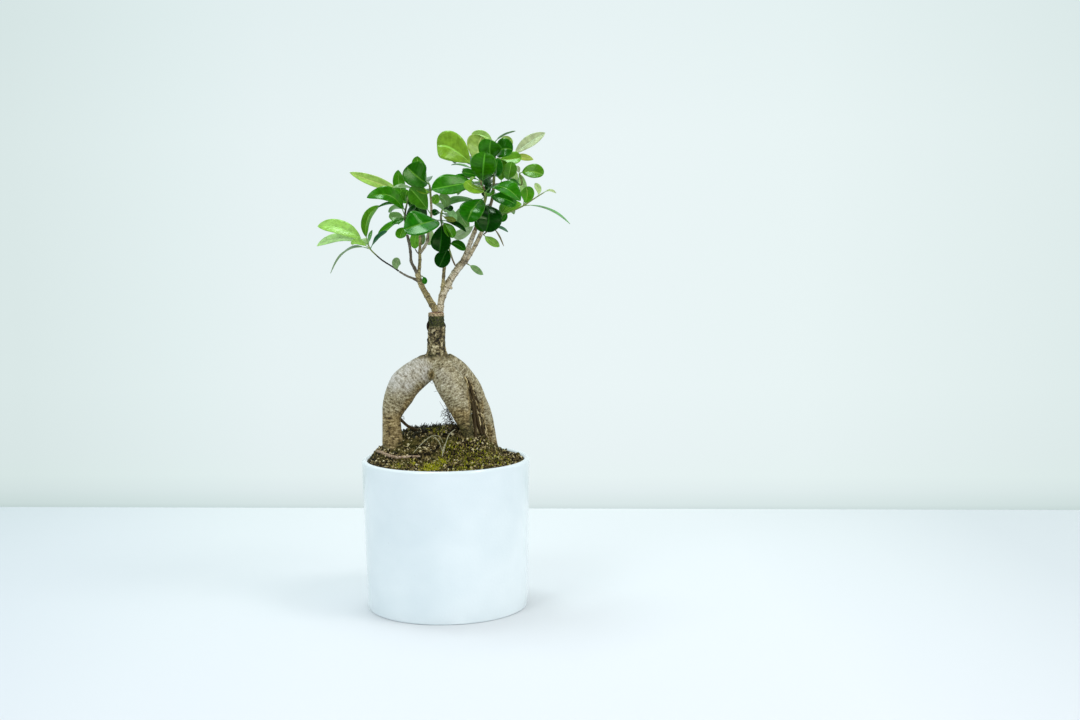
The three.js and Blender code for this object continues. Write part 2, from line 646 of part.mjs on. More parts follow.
function potGeometry() {
  const shoulder = POT_HEIGHT - POT_RIM_ROUND;
  const rimCut = chamfer(POT_RIM_ROUND);
  return turned([
    [0, 0],
    [POT_FOOT_RADIUS - POT_FOOT_ROUND, 0],
    [POT_FOOT_RADIUS, POT_FOOT_ROUND],
    [POT_TOP_RADIUS, shoulder],
    [POT_TOP_RADIUS - rimCut, POT_HEIGHT - rimCut],
    [POT_TOP_RADIUS - POT_RIM_ROUND, POT_HEIGHT],
    [INNER_TOP_RADIUS + rimCut, POT_HEIGHT - rimCut],
    [INNER_TOP_RADIUS, shoulder],
    [INNER_FOOT_RADIUS, POT_FLOOR + POT_INNER_ROUND],
    [INNER_FOOT_RADIUS - POT_INNER_ROUND, POT_FLOOR],
    [0, POT_FLOOR]
  ], POT_SIDES);
}

// The soil fills the pot with a small gap, and its top follows soilHeight
function soilGeometry() {
  const edge = INNER_TOP_RADIUS - GAP;
  const profile = [
    [0, POT_FLOOR + GAP],
    [INNER_FOOT_RADIUS - POT_INNER_ROUND - GAP, POT_FLOOR + GAP],
    [INNER_FOOT_RADIUS - GAP, POT_FLOOR + POT_INNER_ROUND + GAP],
    [edge, SOIL_EDGE_HEIGHT]
  ];
  const above = SOIL_EDGE_HEIGHT + 1;
  for (let ring = 1; ring <= SOIL_RINGS; ring++) {
    profile.push([edge * (1 - ring / SOIL_RINGS), above]);
  }
  const geometry = turned(profile, POT_SIDES);
  const place = geometry.getAttribute("position");
  for (let i = 0; i < place.count; i++) {
    if (place.getZ(i) > SOIL_EDGE_HEIGHT + GAP) {
      place.setZ(i, soilHeight(place.getX(i), place.getY(i)));
    }
  }
  return geometry;
}

// A closed three.js geometry as a solid, its doubled vertices merged by place
function solidOf(geometry) {
  const place = geometry.getAttribute("position");
  const known = new Map();
  const vertices = [];
  const numbers = [];
  for (let i = 0; i < place.count; i++) {
    const vertex = new THREE.Vector3().fromBufferAttribute(place, i);
    const key = vertex.toArray().map((value) => Math.round(value * 1000)).join();
    if (!known.has(key)) {
      known.set(key, vertices.length);
      vertices.push(vertex);
    }
    numbers.push(known.get(key));
  }
  const triangles = [];
  const index = geometry.getIndex().array;
  for (let i = 0; i < index.length; i += 3) {
    const [a, b, c] = [numbers[index[i]], numbers[index[i + 1]], numbers[index[i + 2]]];
    if (a !== b && b !== c && c !== a) triangles.push([a, b, c]);
  }
  return solid(vertices, triangles);
}

function geometryOf(made) {
  const { vertProperties, triVerts } = made.getMesh();
  const geometry = new THREE.BufferGeometry();
  geometry.setAttribute("position", new THREE.BufferAttribute(vertProperties, 3));
  geometry.setIndex(new THREE.BufferAttribute(triVerts, 1));
  geometry.computeVertexNormals();
  return geometry;
}

// The grown wood, or with grow the holes that it stands in
function rootstock(grow = 0) {
  const piece = (sides) => (rows) => roundPiece(rows.map(seenRow), sides, grow);
  return joined([
    ...[NECK, LEFT_LEG, MIDDLE_LEG, RIGHT_LEG].map(piece(LEG_SIDES)),
    ...[...HANGING_ROOTS, SIDE_ROOT].map(piece(ROOT_SIDES))
  ]);
}

function surfaceRoot(grow = 0) {
  return roundPiece(SURFACE_ROOT.map(lyingRow), ROOT_SIDES, grow);
}

function soil() {
  return solidOf(soilGeometry())
    .subtract(rootstock(GAP))
    .subtract(surfaceRoot(GAP));
}

function scions() {
  return joined(LIMBS.map((rows) => roundPiece(rows.map(seenRow), LIMB_SIDES)));
}

const bonsai = new THREE.Group();

function place(name, geometry, colour, roughness, metalness = 0) {
  const material = new THREE.MeshStandardMaterial({ color: colour, roughness, metalness });
  const mesh = new THREE.Mesh(geometry, material);
  mesh.name = name;
  bonsai.add(mesh);
}

place("pot", potGeometry(), 0xe9eef0, 0.15);
place("soil", geometryOf(soil()), 0x3a2d20, 0.95);
place("rootstock", geometryOf(rootstock()), 0x9b9078, 0.75);
place("surface_root", geometryOf(surfaceRoot()), 0xb9a58c, 0.85);
place("scions", geometryOf(scions()), 0x85705a, 0.8);
for (const [name, shoot] of Object.entries(SHOOTS)) {
  place(name, geometryOf(leafyShoot(shoot)), shoot.colour, 0.35);
}

export default bonsai;
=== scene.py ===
"""The looks of a ficus ginseng bonsai in its round white pot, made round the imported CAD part."""
import math
import random

import bpy
import numpy as np
from mathutils import Matrix, Vector


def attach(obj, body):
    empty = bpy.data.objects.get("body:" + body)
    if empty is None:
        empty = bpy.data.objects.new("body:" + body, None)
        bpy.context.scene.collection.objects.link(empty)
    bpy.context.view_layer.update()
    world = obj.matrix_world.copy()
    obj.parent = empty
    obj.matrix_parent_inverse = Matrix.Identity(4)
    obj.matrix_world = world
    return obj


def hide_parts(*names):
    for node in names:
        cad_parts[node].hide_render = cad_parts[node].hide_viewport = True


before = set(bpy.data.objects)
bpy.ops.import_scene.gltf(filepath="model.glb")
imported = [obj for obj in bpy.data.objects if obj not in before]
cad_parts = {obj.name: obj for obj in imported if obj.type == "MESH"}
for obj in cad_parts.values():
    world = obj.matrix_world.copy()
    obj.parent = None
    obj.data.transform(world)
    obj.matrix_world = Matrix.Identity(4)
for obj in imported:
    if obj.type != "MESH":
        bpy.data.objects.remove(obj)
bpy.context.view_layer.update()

# Every size below is in millimetres, and MM turns it into metres
MM = 0.001

# The pot and the soil in it, as in the CAD part
POT_HEIGHT = 125
POT_TOP_RADIUS = 70
POT_FOOT_RADIUS = 67
POT_WALL = 5
POT_FLOOR = 8
POT_RIM_ROUND = 2.5
POT_FOOT_ROUND = 1.5
POT_INNER_ROUND = 2
SOIL_EDGE_HEIGHT = 122.5
SOIL_GAP = 0.3
SOIL_RIM_FADE = 12
MOUND = {"x": -5, "y": 10, "height": 25.5, "reach_x": 46, "reach_y": 38, "steep_x": 5, "steep_y": 2.3}
# Lesser heaps: x, y, height, reach along x, reach along y
HEAPS = [(18, -14, 8, 19.7, 19.7), (-56, -4, 6.5, 9.5, 17.3), (58, 0, 3, 11, 20)]
LYING_SHARE = 0.4

# The leaves, as in the CAD part
PETIOLE_RADIUS = 0.6
PETIOLE_SHARE = 0.14
BLADE_FOLD = 0.28
BLADE_BASE_POWER = 0.8
SLENDER_PLUMPNESS, BROAD_PLUMPNESS = 0.12, 0.3
SLENDER_TIP_POWER, BROAD_TIP_POWER = 0.8, 0.5
CROWN_DEPTH = 1.6

# The plant is laid out as the eye sees it from the front: x and z are places in the plane y = 0,
# and each point then moves along its line of sight to its own depth y
EYE_DISTANCE = 1243
EYE_HEIGHT = 333

# Routes of round pieces: x, y, z, radius
NECK = [
    (-6.3, 0, 246.8, 6.4), (-6.2, 0, 240, 6.6), (-6.1, 0, 232, 7.2), (-6.4, 0, 224, 7.3),
    (-6.4, 0, 216, 7.9), (-6, 0, 208, 10), (-5, 0, 200, 10),
]
LEFT_LEG = [
    (-6, 0, 203, 9.5), (-14, 0, 201, 11.2), (-23, -1, 195.5, 12), (-32, -2, 188, 12.9),
    (-38.5, -3, 177, 11.8), (-43.2, -4, 166, 9.2), (-44.7, -4.5, 159, 7.7), (-44.7, -5, 151, 7.6),
    (-43.9, -6, 138, 8.7), (-43.4, -7, 124, 8.8), (-43, -7, 112, 8),
]
MIDDLE_LEG = [
    (-4, -2, 205, 9), (-0.5, -5, 197, 11.5), (4.3, -9, 187, 12.2), (9, -12, 177, 11.5),
    (12, -14, 167, 9.4), (14.9, -15, 157, 7.2), (17.8, -15.5, 147, 5), (19.4, -16, 138, 4.4),
    (20.4, -16, 112, 3.8),
]
RIGHT_LEG = [
    (0, 2, 205.5, 8.4), (8.5, 4, 200, 8.6), (16.5, 6, 191.5, 8.5), (22.5, 8, 182.5, 8.1),
    (27.5, 9, 172, 7.3), (32.4, 10, 160, 6.6), (35.8, 10, 149, 5.5), (38.5, 9, 137, 4.5),
    (41.3, 9, 126, 4.3), (43, 9, 112, 4),
]
HANGING_ROOTS = [
    [
        (16, 0, 194, 1.2), (20, -6, 187, 1.3), (22.5, -9, 179, 1.4), (24.3, -9, 170, 1.5),
        (25.8, -8, 160, 1.5), (28, -7, 150, 1.4), (31, -6, 140, 1.3), (33, -6, 124, 1.2),
    ],
    [
        (19, -11, 181, 1.5), (22.6, -12, 169, 1.4), (23.8, -13, 159, 1.3), (24.8, -15, 149, 1.3),
        (25.2, -17, 139, 1.2), (25.4, -17, 124, 1.1),
    ],
    [
        (23, 4, 184, 1.8), (26.3, -1, 170, 1.5), (29.3, -2, 156, 1.3), (31.6, -2, 146, 1.3),
        (35, -3, 136, 1.2), (36, -3, 122, 1.1),
    ],
]
SIDE_ROOT = [
    (-40.5, -3, 161.5, 1.5), (-36, -3, 156.5, 1.3), (-31.5, -1, 152.2, 1.2), (-25.5, 2, 149.2, 1.2),
    (-20, 5, 145.5, 1.2), (-14, 8, 138, 1.2),
]
LIMBS = [
    [
        (-7.2, 0, 247.2, 2.9), (-7.3, 0, 249.4, 2.9), (-9.3, -0.5, 253, 2.8), (-12.6, -1.5, 259, 2.55),
        (-16.5, -2.5, 266, 2.35), (-19.5, -3.5, 273, 2.3), (-21, -4, 279, 2.2),
    ],
    [
        (-20.5, -4, 277, 1.7), (-23.5, -5.5, 283.5, 1.4), (-26, -7, 288.5, 1.3),
        (-26.5, -8.5, 295, 1.2), (-27.2, -10, 302, 1.2), (-29, -12, 311, 1.1),
    ],
    [
        (-20.5, -4, 277, 1.8), (-19.5, -2, 284, 1.4), (-19, 1, 290, 1.3), (-19, 4, 297, 1.3),
        (-18.5, 8, 304, 1.2), (-18.5, 11, 310, 1.1),
    ],
    [
        (-18.8, 3.3, 295.5, 1.2), (-15, 4, 301, 1.3), (-12.5, 4, 306, 1.3), (-12, 3.5, 311, 1.2),
    ],
    [
        (-19.5, -3.4, 272, 1.4), (-24, -5.5, 274.7, 1), (-30, -8.5, 277.2, 0.9),
        (-36, -12, 280.8, 0.8),
    ],
    [
        (-19, 2.9, 294.5, 0.7), (-21, 2.2, 296.5, 0.55), (-22.8, 1.5, 299.3, 0.45),
    ],
    [
        (-2.8, 0, 247.2, 2.9), (-2.7, 0, 250, 2.9), (-2.3, 0.5, 254, 2.8), (-1.2, 1.2, 259, 3),
        (1, 2.2, 265, 3.2), (5, 3.4, 272, 3), (9.5, 4.6, 279, 2.9), (14, 5.6, 285, 3),
        (16, 6, 287.5, 2.9),
    ],
    [
        (14, 5.5, 284, 2.4), (17.5, 3, 291, 2.2), (20.5, 0, 298, 2.1), (23.5, -4, 306, 2),
        (27, -9, 314.5, 1.8),
    ],
    [
        (14.5, 6, 284.5, 2.4), (19.5, 8.5, 290, 2), (24, 11, 297, 1.9), (28, 13.5, 304, 1.8),
        (31, 15.5, 310, 1.7), (33.5, 18, 315, 1.6),
    ],
    [
        (-1, 1.5, 262.5, 1.6), (-0.5, 0, 267, 1.7), (0, -2, 273, 1.4), (0.6, -4, 280, 1.4),
        (1.2, -6, 287, 1.3), (1, -9, 296, 1.2), (0, -12, 305, 1.1), (-0.5, -16, 319, 1),
    ],
    [
        (-0.5, 0.5, 265.5, 1.3), (-2.4, -0.6, 268.4, 0.6),
    ],
    [
        (4.5, 2.8, 268, 2.2), (7.4, 2.4, 266.2, 0.9),
    ],
]

# The dead root that lies on the soil: x, y, radius
SURFACE_ROOT = [
    (-57, -6, 0.9), (-53.5, -13, 1.3), (-48, -20, 1.4), (-40, -28, 1.3), (-30, -30, 1.2),
    (-21, -30, 0.9),
]

# Pale dry stalks on the soil: x, y, z, radius
STRAWS = [
    [(-27, -33, 129.5, 0.24), (-20, -32, 137, 0.27), (-11, -30, 143.5, 0.27), (-5, -30, 142.5, 0.22),
     (-2, -30, 137, 0.2)],
    [(-11, -30, 143.5, 0.22), (-6, -33, 139, 0.22), (-3, -36, 130, 0.2)],
    [(8, -25, 148.5, 0.2), (3.5, -28, 145, 0.27), (0, -33, 137, 0.32), (-2, -37, 129, 0.3)],
    [(-1, -34, 136, 0.22), (-2.5, -36, 131, 0.36), (-3, -38, 126, 0.3)],
]

# Leafy shoots. A shoot's depth is the y that its stem starts at, and its rows' depths are drawn out from
# there. A stem row is x, y, z, radius. A leaf row is the stem row that it grows from, the middle of its
# midrib x, y, z, its tip x, y, z, its half width, the way its upper face looks x, y, z, and its tone
SHOOTS = {
    "outer_left_shoot": {
        "slot": "young_leaf",
        "depth": -12.2,
        "stem": [
            (-36.5, -3, 281.2, 0.75), (-40, -3, 283.8, 0.7), (-50, -1, 290.4, 0.65),
            (-55, 0, 294.8, 0.6), (-59.5, 1, 299.6, 0.6), (-61, 1, 303, 0.6),
        ],
        "leaves": [
            (5, -82, 6, 316.6, -102, 10, 318.6, 7.3, 0, -8, 6, "young"),
            (5, -83.5, 16, 309, -103, 20, 302.4, 5.2, 0, -7, 6, "pale"),
            (4, -69, -1, 305.6, -75, -2, 303.6, 2.7, 0, -9, 4, "young"),
            (5, -62.2, 2, 322.6, -51.4, 4, 335, 6, -6, -6, 4, "green"),
            (5, -60, 9, 309.5, -57.5, 12, 315.2, 1.6, 2, -9, 0, "grey"),
            (4, -53.6, -1.5, 308.6, -45.4, -2, 314, 3.8, -5, -5, 7, "slate"),
            (4, -79, 12, 299, -92.4, 18, 280, 3.8, -5, -1, 8, "grey"),
            (0, -38.6, -3.5, 286.8, -35.8, -4, 291.2, 3.8, 2, -9, 2, "grey"),
            (4, -66, 12, 307, -74, 20, 303, 4.6, 0, -3, 9, "young"),
        ],
    },
    "upper_left_spray": {
        "slot": "leaf",
        "depth": -12.3,
        "stem": [
            (-29.2, -1, 311.5, 1.05), (-30, -1.5, 318, 1), (-30.6, -2, 325, 0.95), (-30, 0, 331, 0.8),
            (-28.5, 6, 338, 0.7), (-28, 12, 345, 0.6),
        ],
        "leaves": [
            (2, -41.2, -8, 343, -61.4, -8, 341.6, 7.2, 0, -8, 6, "leafy"),
            (3, -40.8, -3, 337, -53.6, -4, 333, 1.8, 0, -6, 7, "dark"),
            (5, -52.5, 18, 353.8, -75, 20, 362.2, 4.8, -1, -9, 4, "young"),
            (4, -34.4, 11, 350.6, -35.4, 12, 364, 5, -1, -9, 2, "green"),
            (2, -37, 1, 325.8, -43.6, 1, 325.4, 4.6, 0, -8, 5, "grey"),
            (2, -35, -5, 323, -41.5, -7, 319.6, 2.3, 1, -8, 5, "dark"),
            (2, -42, 7, 319, -53, 10, 311.8, 4.4, 0, -7, 7, "green"),
            (1, -33.4, -3, 313.6, -35, -4, 308, 4.6, -1, -9, 2, "green"),
            (2, -26.6, -7, 330, -21.6, -11, 333.4, 4.4, 0, -8, 5, "deep"),
            (4, -29.5, 1, 342.6, -28, -2, 347.6, 5, 1, -8, 4, "green"),
            (5, -35, 20, 350, -41, 28, 346, 5.5, 0, -3, 9, "green"),
            (3, -37, 12, 333.5, -44, 17, 329.5, 4.8, 0, -7, 6, "grey"),
            (2, -33, 13, 325.5, -36, 23, 319.5, 5.2, 0, -3, 9, "green"),
        ],
    },
    "centre_left_spray": {
        "slot": "leaf",
        "depth": 11.3,
        "stem": [
            (-18.5, 4, 310.5, 1.05), (-18, 5, 318, 1), (-17.5, 6, 326, 0.9), (-17.5, 6, 334, 0.8),
            (-18, 5, 342, 0.7), (-19, 4, 347, 0.6),
        ],
        "leaves": [
            (5, -29, -4, 350.4, -41, -5, 349.4, 4, 0, -4, 8, "grey"),
            (1, -22, 9, 309, -22.8, 11, 299.5, 4.6, 0, -9, -1, "bright"),
            (1, -16.5, 9, 309, -17, 10, 302.5, 2.4, 1, -9, 0, "grey"),
            (3, -22, 3, 338, -27.5, 2, 335.5, 4.5, 0, -8, 5, "dark"),
            (4, -27.6, 4.8, 342.2, -35, 5.2, 338.8, 5.2, 0, -9, 3, "green"),
            (3, -21, 18, 338, -24, 27, 331, 6, 0, -4, 9, "dark"),
            (4, -15, 17, 349, -12, 27, 344, 6, 1, -3, 9, "green"),
            (2, -20, 16, 325, -25, 26, 318, 5.2, 0, -4, 9, "dark"),
        ],
    },
    "centre_twig_spray": {
        "slot": "dark_leaf",
        "depth": 3.3,
        "stem": [
            (-12, 3, 311.5, 1.1), (-10.5, 2, 319, 1.05), (-9, -1, 327, 1), (-9, -3, 337, 1),
            (-9.5, -4, 346, 0.9), (-10, -4, 351.5, 0.8),
        ],
        "leaves": [
            (5, -18, -9, 357.6, -28.6, -9, 366.6, 12, -2, -8, 6, "dark"),
            (5, -18, 3, 364, -19.4, 6, 375, 5.6, 1, -9, 2, "green"),
            (2, -18.8, -8, 340.8, -26.4, -12, 349, 8.4, 1, -9, 2, "green"),
            # This deep leaf fills a dark gap in the crown; its tone partly paints the shade there
            (1, -18.4, -5, 331, -25, -7.5, 336.4, 6.4, 0, -9, 3, "deep"),
            (4, -15, -7, 346.8, -21.5, -9, 349.5, 3.6, 0, -8, 5, "bright"),
            (1, -10, 9, 309, -12, 10, 302.5, 3.8, 0, -9, -2, "pale"),
            (3, -6, 1, 338.6, -4, 3, 344, 3.6, 0, -9, 0, "bright"),
            (4, -4.5, 8, 348, 0, 16, 343, 5.8, 1, -4, 9, "dark"),
            (3, -3, 13, 336, 2.5, 23, 329, 5.8, 0, -4, 9, "green"),
            (5, -13, 13, 358, -15, 24, 355, 6, 0, -2, 9, "dark"),
        ],
    },
    "middle_spray": {
        "slot": "dark_leaf",
        "depth": -16.3,
        "stem": [
            (-0.5, -3, 319.7, 0.95), (-1, -4.5, 322.5, 0.95), (-1, -6, 327, 0.8), (0, -5, 331, 0.7),
        ],
        "leaves": [
            (1, -13.8, -20, 321.6, -31.6, -22, 315.6, 12.4, 0, -8, 6, "dark"),
            (1, -1.1, -10, 308.4, -2.8, -11, 296.6, 8.2, 0, -9, 3, "deep"),
            (1, 5, -8, 315.4, 8.5, -10, 308, 4.6, 2, -9, 2, "green"),
            (1, 10, -7, 320, 19.5, -9, 312.8, 3, 0, -5, 8, "deep"),
            (2, 6, -8, 323.5, 11.5, -8, 322.8, 2.4, 0, -8, 5, "olive"),
            (3, 4, -6, 333, 8, -7, 330.4, 3.8, 0, -5, 8, "deep"),
            (2, -4, -9, 330, -7.4, -10, 326.6, 3.4, 0, -6, 7, "deep"),
            (3, 3, -7, 337.6, -2.5, -9, 342.2, 4.8, 1, -8, 4, "grey"),
            (3, 7, 3, 328.4, 11, 4, 321, 3.4, 0, -9, 2, "pale"),
            (2, 4, 8, 328, 8, 17, 322, 5.2, 0, -4, 9, "dark"),
        ],
    },
    "hanging_spray": {
        "slot": "dark_leaf",
        "depth": 4.6,
        "stem": [
            (9.9, -0.5, 285.6, 0.7), (8, -4, 290, 0.75), (6.3, -9, 295.5, 0.75), (5, -14, 300.5, 0.7),
            (4.8, -15, 302, 0.6),
        ],
        "leaves": [
            (3, 1, -17, 293, -3.2, -18, 284, 6.6, -2, -9, 2, "deep"),
            (4, 11.5, -15, 303, 18.2, -15, 297.6, 4, 2, -8, 4, "dark"),
        ],
    },
    "right_low_spray": {
        "slot": "dark_leaf",
        "depth": -9.4,
        "stem": [
            (27.2, -3, 315, 1.7), (29, -4, 320, 1.6), (32, -5, 328, 1.5), (34.5, -6, 336, 1.4),
            (36, -6, 342, 1.3), (35.5, -6, 345.4, 1.2),
        ],
        "leaves": [
            (4, 26, -22, 333, 20.5, -24, 321.4, 9.8, -2, -9, 2, "dark"),
            (3, 38.6, -20, 327.4, 35.8, -22, 312.8, 10.4, 1, -9, 2, "deep"),
            (2, 30, -13, 320.6, 34, -16, 312.8, 3.8, -2, -9, 1, "dark"),
            (1, 17, 4, 312.2, 9, 6, 308.6, 4.6, 0, -8, -4, "pale"),
            (3, 14, 4, 340.4, 4.5, 6, 334.2, 3.8, 0, -7, -6, "grey"),
            (2, 17, 6, 327, 22, 10, 316, 6.5, 0, -10, 1, "grey"),
            (5, 50, -20, 350.2, 64.6, -23, 338, 8.4, 1, -7, 7, "leafy"),
            (4, 50.5, -14, 340.4, 61, -14, 335, 7, 0, -8, 5, "dark"),
            (5, 39, -12, 343.8, 43.5, -14, 346.8, 2.5, 0, -8, 5, "green"),
            (3, 27, 9, 338, 20, 18, 334, 6, 0, -3, 9, "dark"),
        ],
    },
    "right_top_spray": {
        "slot": "leaf",
        "depth": -14.2,
        "stem": [
            (35.1, -6, 347, 1.1), (33.5, -6, 350, 1.1), (32, -6, 354, 1), (30.5, -4, 359, 0.9),
            (29, -2, 363, 0.8),
        ],
        "leaves": [
            (1, 27.4, -24, 349.6, 20, -26, 354.6, 8.2, 1, -8, 5, "bright"),
            (2, 12, -16, 352.2, -8.4, -20, 348.2, 10, -1, -8, 5, "leafy"),
            (1, 34.2, -22, 365.2, 36, -24, 377.6, 10.4, 0, -9, 4, "leafy"),
            (3, 24, -8, 360.6, 16.6, -10, 362, 4.2, 0, -8, 4, "dark"),
            (2, 20, -9, 358.4, 6, -13, 355.6, 3.2, 0, -6, 7, "dark"),
            (4, 10.4, -6, 380.6, -3.4, -4, 383.6, 13, -1, -9, 4, "bright"),
            (4, 16, 2, 368, 8, 4, 367.6, 2.8, 0, -1, 10, "grey"),
            (4, 30.5, 6, 380.8, 33.2, 8, 391, 10.4, 0, -10, 2, "young"),
            (3, 25, 13, 365, 20, 23, 359, 6.5, 0, -4, 9, "green"),
            (4, 18, 14, 373, 11, 23, 369, 7.5, 0, -3, 9, "dark"),
            (1, 21, 10, 350, 13, 18, 343, 6, 0, -4, 9, "green"),
        ],
    },
    "crown_spray": {
        "slot": "leaf",
        "depth": 18.3,
        "stem": [
            (33.7, 7, 315.5, 1.55), (36, 9, 323, 1.5), (39, 8.5, 332, 1.4), (41.5, 7, 341, 1.35),
            (42.5, 5, 350, 1.3), (43, 3, 358, 1.2), (43.5, 3, 366, 1.1), (44, 5, 373, 0.9),
            (44, 9, 381, 0.7), (44, 12, 386, 0.6),
        ],
        "leaves": [
            (5, 44.6, -9.6, 363.4, 46.4, -11.6, 373, 5.8, -1, -9, 1, "dark"),
            (6, 40, -7, 378.4, 41, -9, 387.6, 9.6, 0, -9, 3, "leafy"),
            (7, 48.6, -4, 380.4, 58.8, -5, 380, 8.8, 0, -9, 4, "dark"),
            (9, 34.6, 15, 391.6, 25, 17, 392.6, 4, 0, -9, 3, "young"),
            (9, 51, 14, 392, 61, 15, 395, 4, -2, 0, 10, "dark"),
            (4, 38.6, -4, 354.6, 37.6, -7, 361, 6.2, 0, -9, 3, "deep"),
            (4, 37.4, 3, 348, 34.4, 2, 341.6, 3.6, 0, -8, 4, "deep"),
            (5, 48, 15, 363, 53, 25, 356, 7, 0, -4, 9, "green"),
            (7, 38, 18, 378, 33, 29, 373, 7.5, 0, -3, 9, "dark"),
            (6, 52, 15, 372, 59, 25, 368, 6.2, 0, -3, 9, "green"),
            (4, 35, 16, 354, 28, 27, 347, 7, 0, -4, 9, "dark"),
            (3, 47, 14, 344, 54, 24, 339, 6.5, 0, -3, 9, "green"),
            (2, 33, 17, 334, 27, 27, 328, 6, 0, -4, 9, "dark"),
        ],
    },
    "right_spray": {
        "slot": "leaf",
        "depth": 12.4,
        "stem": [
            (44.3, 3.5, 351.5, 1), (49, 2, 352, 1), (54, 0, 353, 0.9), (60, -1, 352, 0.9),
            (65.5, -1, 351.2, 0.8), (65.5, -1, 355.6, 0.8), (64, -1, 360.2, 0.7),
        ],
        "leaves": [
            (2, 56, -8, 361.6, 57.6, -10, 370, 5.6, 1, -9, 0, "green"),
            (1, 49, 0, 362.2, 49.8, -1, 371.6, 6.6, -1, -9, 1, "green"),
            (6, 72.4, -4, 362.4, 83.8, -6, 359.4, 7, 0, -8, 5, "green"),
            (6, 63, -3, 363.6, 61.5, -4, 366.6, 2, 1, -9, 2, "pale"),
            (4, 61, -5, 352.8, 56, -8, 355.8, 2.6, 1, -8, 4, "dark"),
            (3, 60, -4, 357.5, 58.6, -6, 363, 3, 0, -9, 3, "pale"),
            (2, 57, 11, 357, 62, 20, 352, 5.6, 0, -3, 9, "green"),
        ],
    },
    "light_top_shoot": {
        "slot": "young_leaf",
        "depth": 14.9,
        "stem": [
            (45.5, 5, 372.6, 0.8), (51, 7, 372.4, 0.75), (57, 8, 373.8, 0.7),
        ],
        "leaves": [
            (2, 70.4, 10, 384.6, 85.4, 12, 393.4, 6, -3, -8, 5, "pale"),
            (2, 66, 8, 373.8, 75.5, 9, 371.6, 3.2, 0, -8, 4, "young"),
            (1, 52.8, 10, 382.8, 54.8, 11, 391, 5.6, 0, -10, 1, "young"),
            (0, 55.6, 3, 372.4, 65.6, 2, 373.8, 6.4, 0, -8, 5, "bright"),
        ],
    },
    "light_right_shoot": {
        "slot": "young_leaf",
        "depth": 20.5,
        "stem": [
            (38.8, 5.5, 324.5, 0.8), (46, 2, 325.5, 0.8), (54, -2, 328.4, 0.8), (61, -4, 331.2, 0.75),
            (67, -5, 334, 0.7), (73, -5, 337.8, 0.6), (79, -5, 341.6, 0.5), (84, -5, 344.6, 0.45),
        ],
        "leaves": [
            (1, 56, -8, 332.8, 65.4, -9, 335.4, 4.6, 0, -8, 5, "bright"),
            (1, 50, -3, 331, 53, -5, 335.6, 4.2, -1, -9, 2, "green"),
            (6, 79.5, -3, 347.2, 76.5, -2, 352.2, 2.8, 3, -9, 1, "pale"),
            (7, 89, -6, 346.4, 94, -7, 344, 1.6, 0, -6, 7, "pale"),
            (4, 87, -6, 331.4, 105.4, -10, 318.6, 3.2, 3, -2, 9, "grey"),
            (4, 70.2, -6, 341.8, 69.2, -7, 349.4, 5.8, 0, -10, 0, "green"),
            (4, 67.2, 1, 348.4, 63.6, 2, 360.4, 3.2, -1, -9, 1, "pale"),
            (2, 51.5, -5, 324.6, 48.5, -6, 321, 2.4, 2, -8, 4, "dark"),
            (2, 55, 9, 331, 59, 17, 327, 4.4, 0, -3, 9, "green"),
        ],
    },
    "low_right_shoot": {
        "slot": "leaf",
        "depth": 15.1,
        "stem": [
            (33.7, 5.6, 310.5, 0.6), (37, 4, 313.2, 0.6), (42, 2, 316.4, 0.6),
        ],
        "leaves": [
            (0, 39.5, 2, 305.4, 46.8, 0, 300.4, 3.8, 0, -8, 5, "young"),
            (2, 46.6, 0, 309.8, 50.4, -1, 300.8, 3, 8, 0, 5, "brown"),
            (2, 48, 3, 316, 54, 4, 312.4, 2.2, 0, -6, 8, "teal"),
        ],
    },
    "limb_leaf": {
        "slot": "pale_leaf",
        "depth": 9.6,
        "stem": [
            (19.2, 3.4, 287, 0.6), (21, 5.5, 286, 0.6),
        ],
        "leaves": [
            (1, 26.5, 8, 282.2, 33, 12, 277.6, 3, -2, -8, 4, "grey"),
        ],
    },
    "fork_leaf": {
        "slot": "pale_leaf",
        "depth": -5.6,
        "stem": [
            (-18, -1.7, 277, 0.5), (-17, -2.6, 276.6, 0.5),
        ],
        "leaves": [
            (1, -15.6, -3.4, 274.2, -15.3, -3.4, 270.2, 2.2, 1, -9, 1, "dark"),
        ],
    },
}

# Colours of the leaves as tones, red, green and blue out of 255: the blade and its veins. The darkest, deep,
# is partly painted shade, given to leaves deep in the crown where shade falls
TONES = {
    "deep": ((2, 58, 0), (34, 96, 16)),
    "dark": ((26, 104, 0), (84, 146, 36)),
    "leafy": ((42, 122, 0), (98, 164, 44)),
    "green": ((74, 146, 14), (128, 184, 66)),
    "bright": ((116, 182, 44), (152, 206, 78)),
    "young": ((156, 196, 84), (192, 218, 126)),
    "pale": ((176, 208, 142), (202, 224, 170)),
    "grey": ((116, 162, 92), (156, 190, 132)),
    "teal": ((74, 130, 94), (118, 164, 124)),
    "slate": ((36, 92, 56), (76, 130, 88)),
    "olive": ((112, 128, 44), (150, 160, 84)),
    "brown": ((146, 104, 66), (172, 132, 92)),
}


def tone(red, green, blue):
    """A colour out of 255 in each of red, green and blue, as the linear colour that a node takes."""
    def linear(value):
        share = value / 255
        return share / 12.92 if share < 0.04045 else ((share + 0.055) / 1.055) ** 2.4
    return (linear(red), linear(green), linear(blue), 1.0)


# Nodes

def node(tree, kind, settings=None, **inputs):
    """One node. An input is named, or i and its number, and takes a value or the socket that feeds it."""
    made = tree.nodes.new(kind)
    for key, value in (settings or {}).items():
        setattr(made, key, value)
    for key, value in inputs.items():
        socket = made.inputs[int(key[1:]) if key[1:].isdigit() else key.replace("_", " ")]
        if isinstance(value, bpy.types.NodeSocket):
            tree.links.new(value, socket)
        else:
            socket.default_value = value
    return made


def sums(tree, operation, first, second=0.0, third=0.0):
    """The result of one sum on numbers."""
    made = node(tree, "ShaderNodeMath", {"operation": operation}, i0=first, i1=second, i2=third)
    return made.outputs[0]


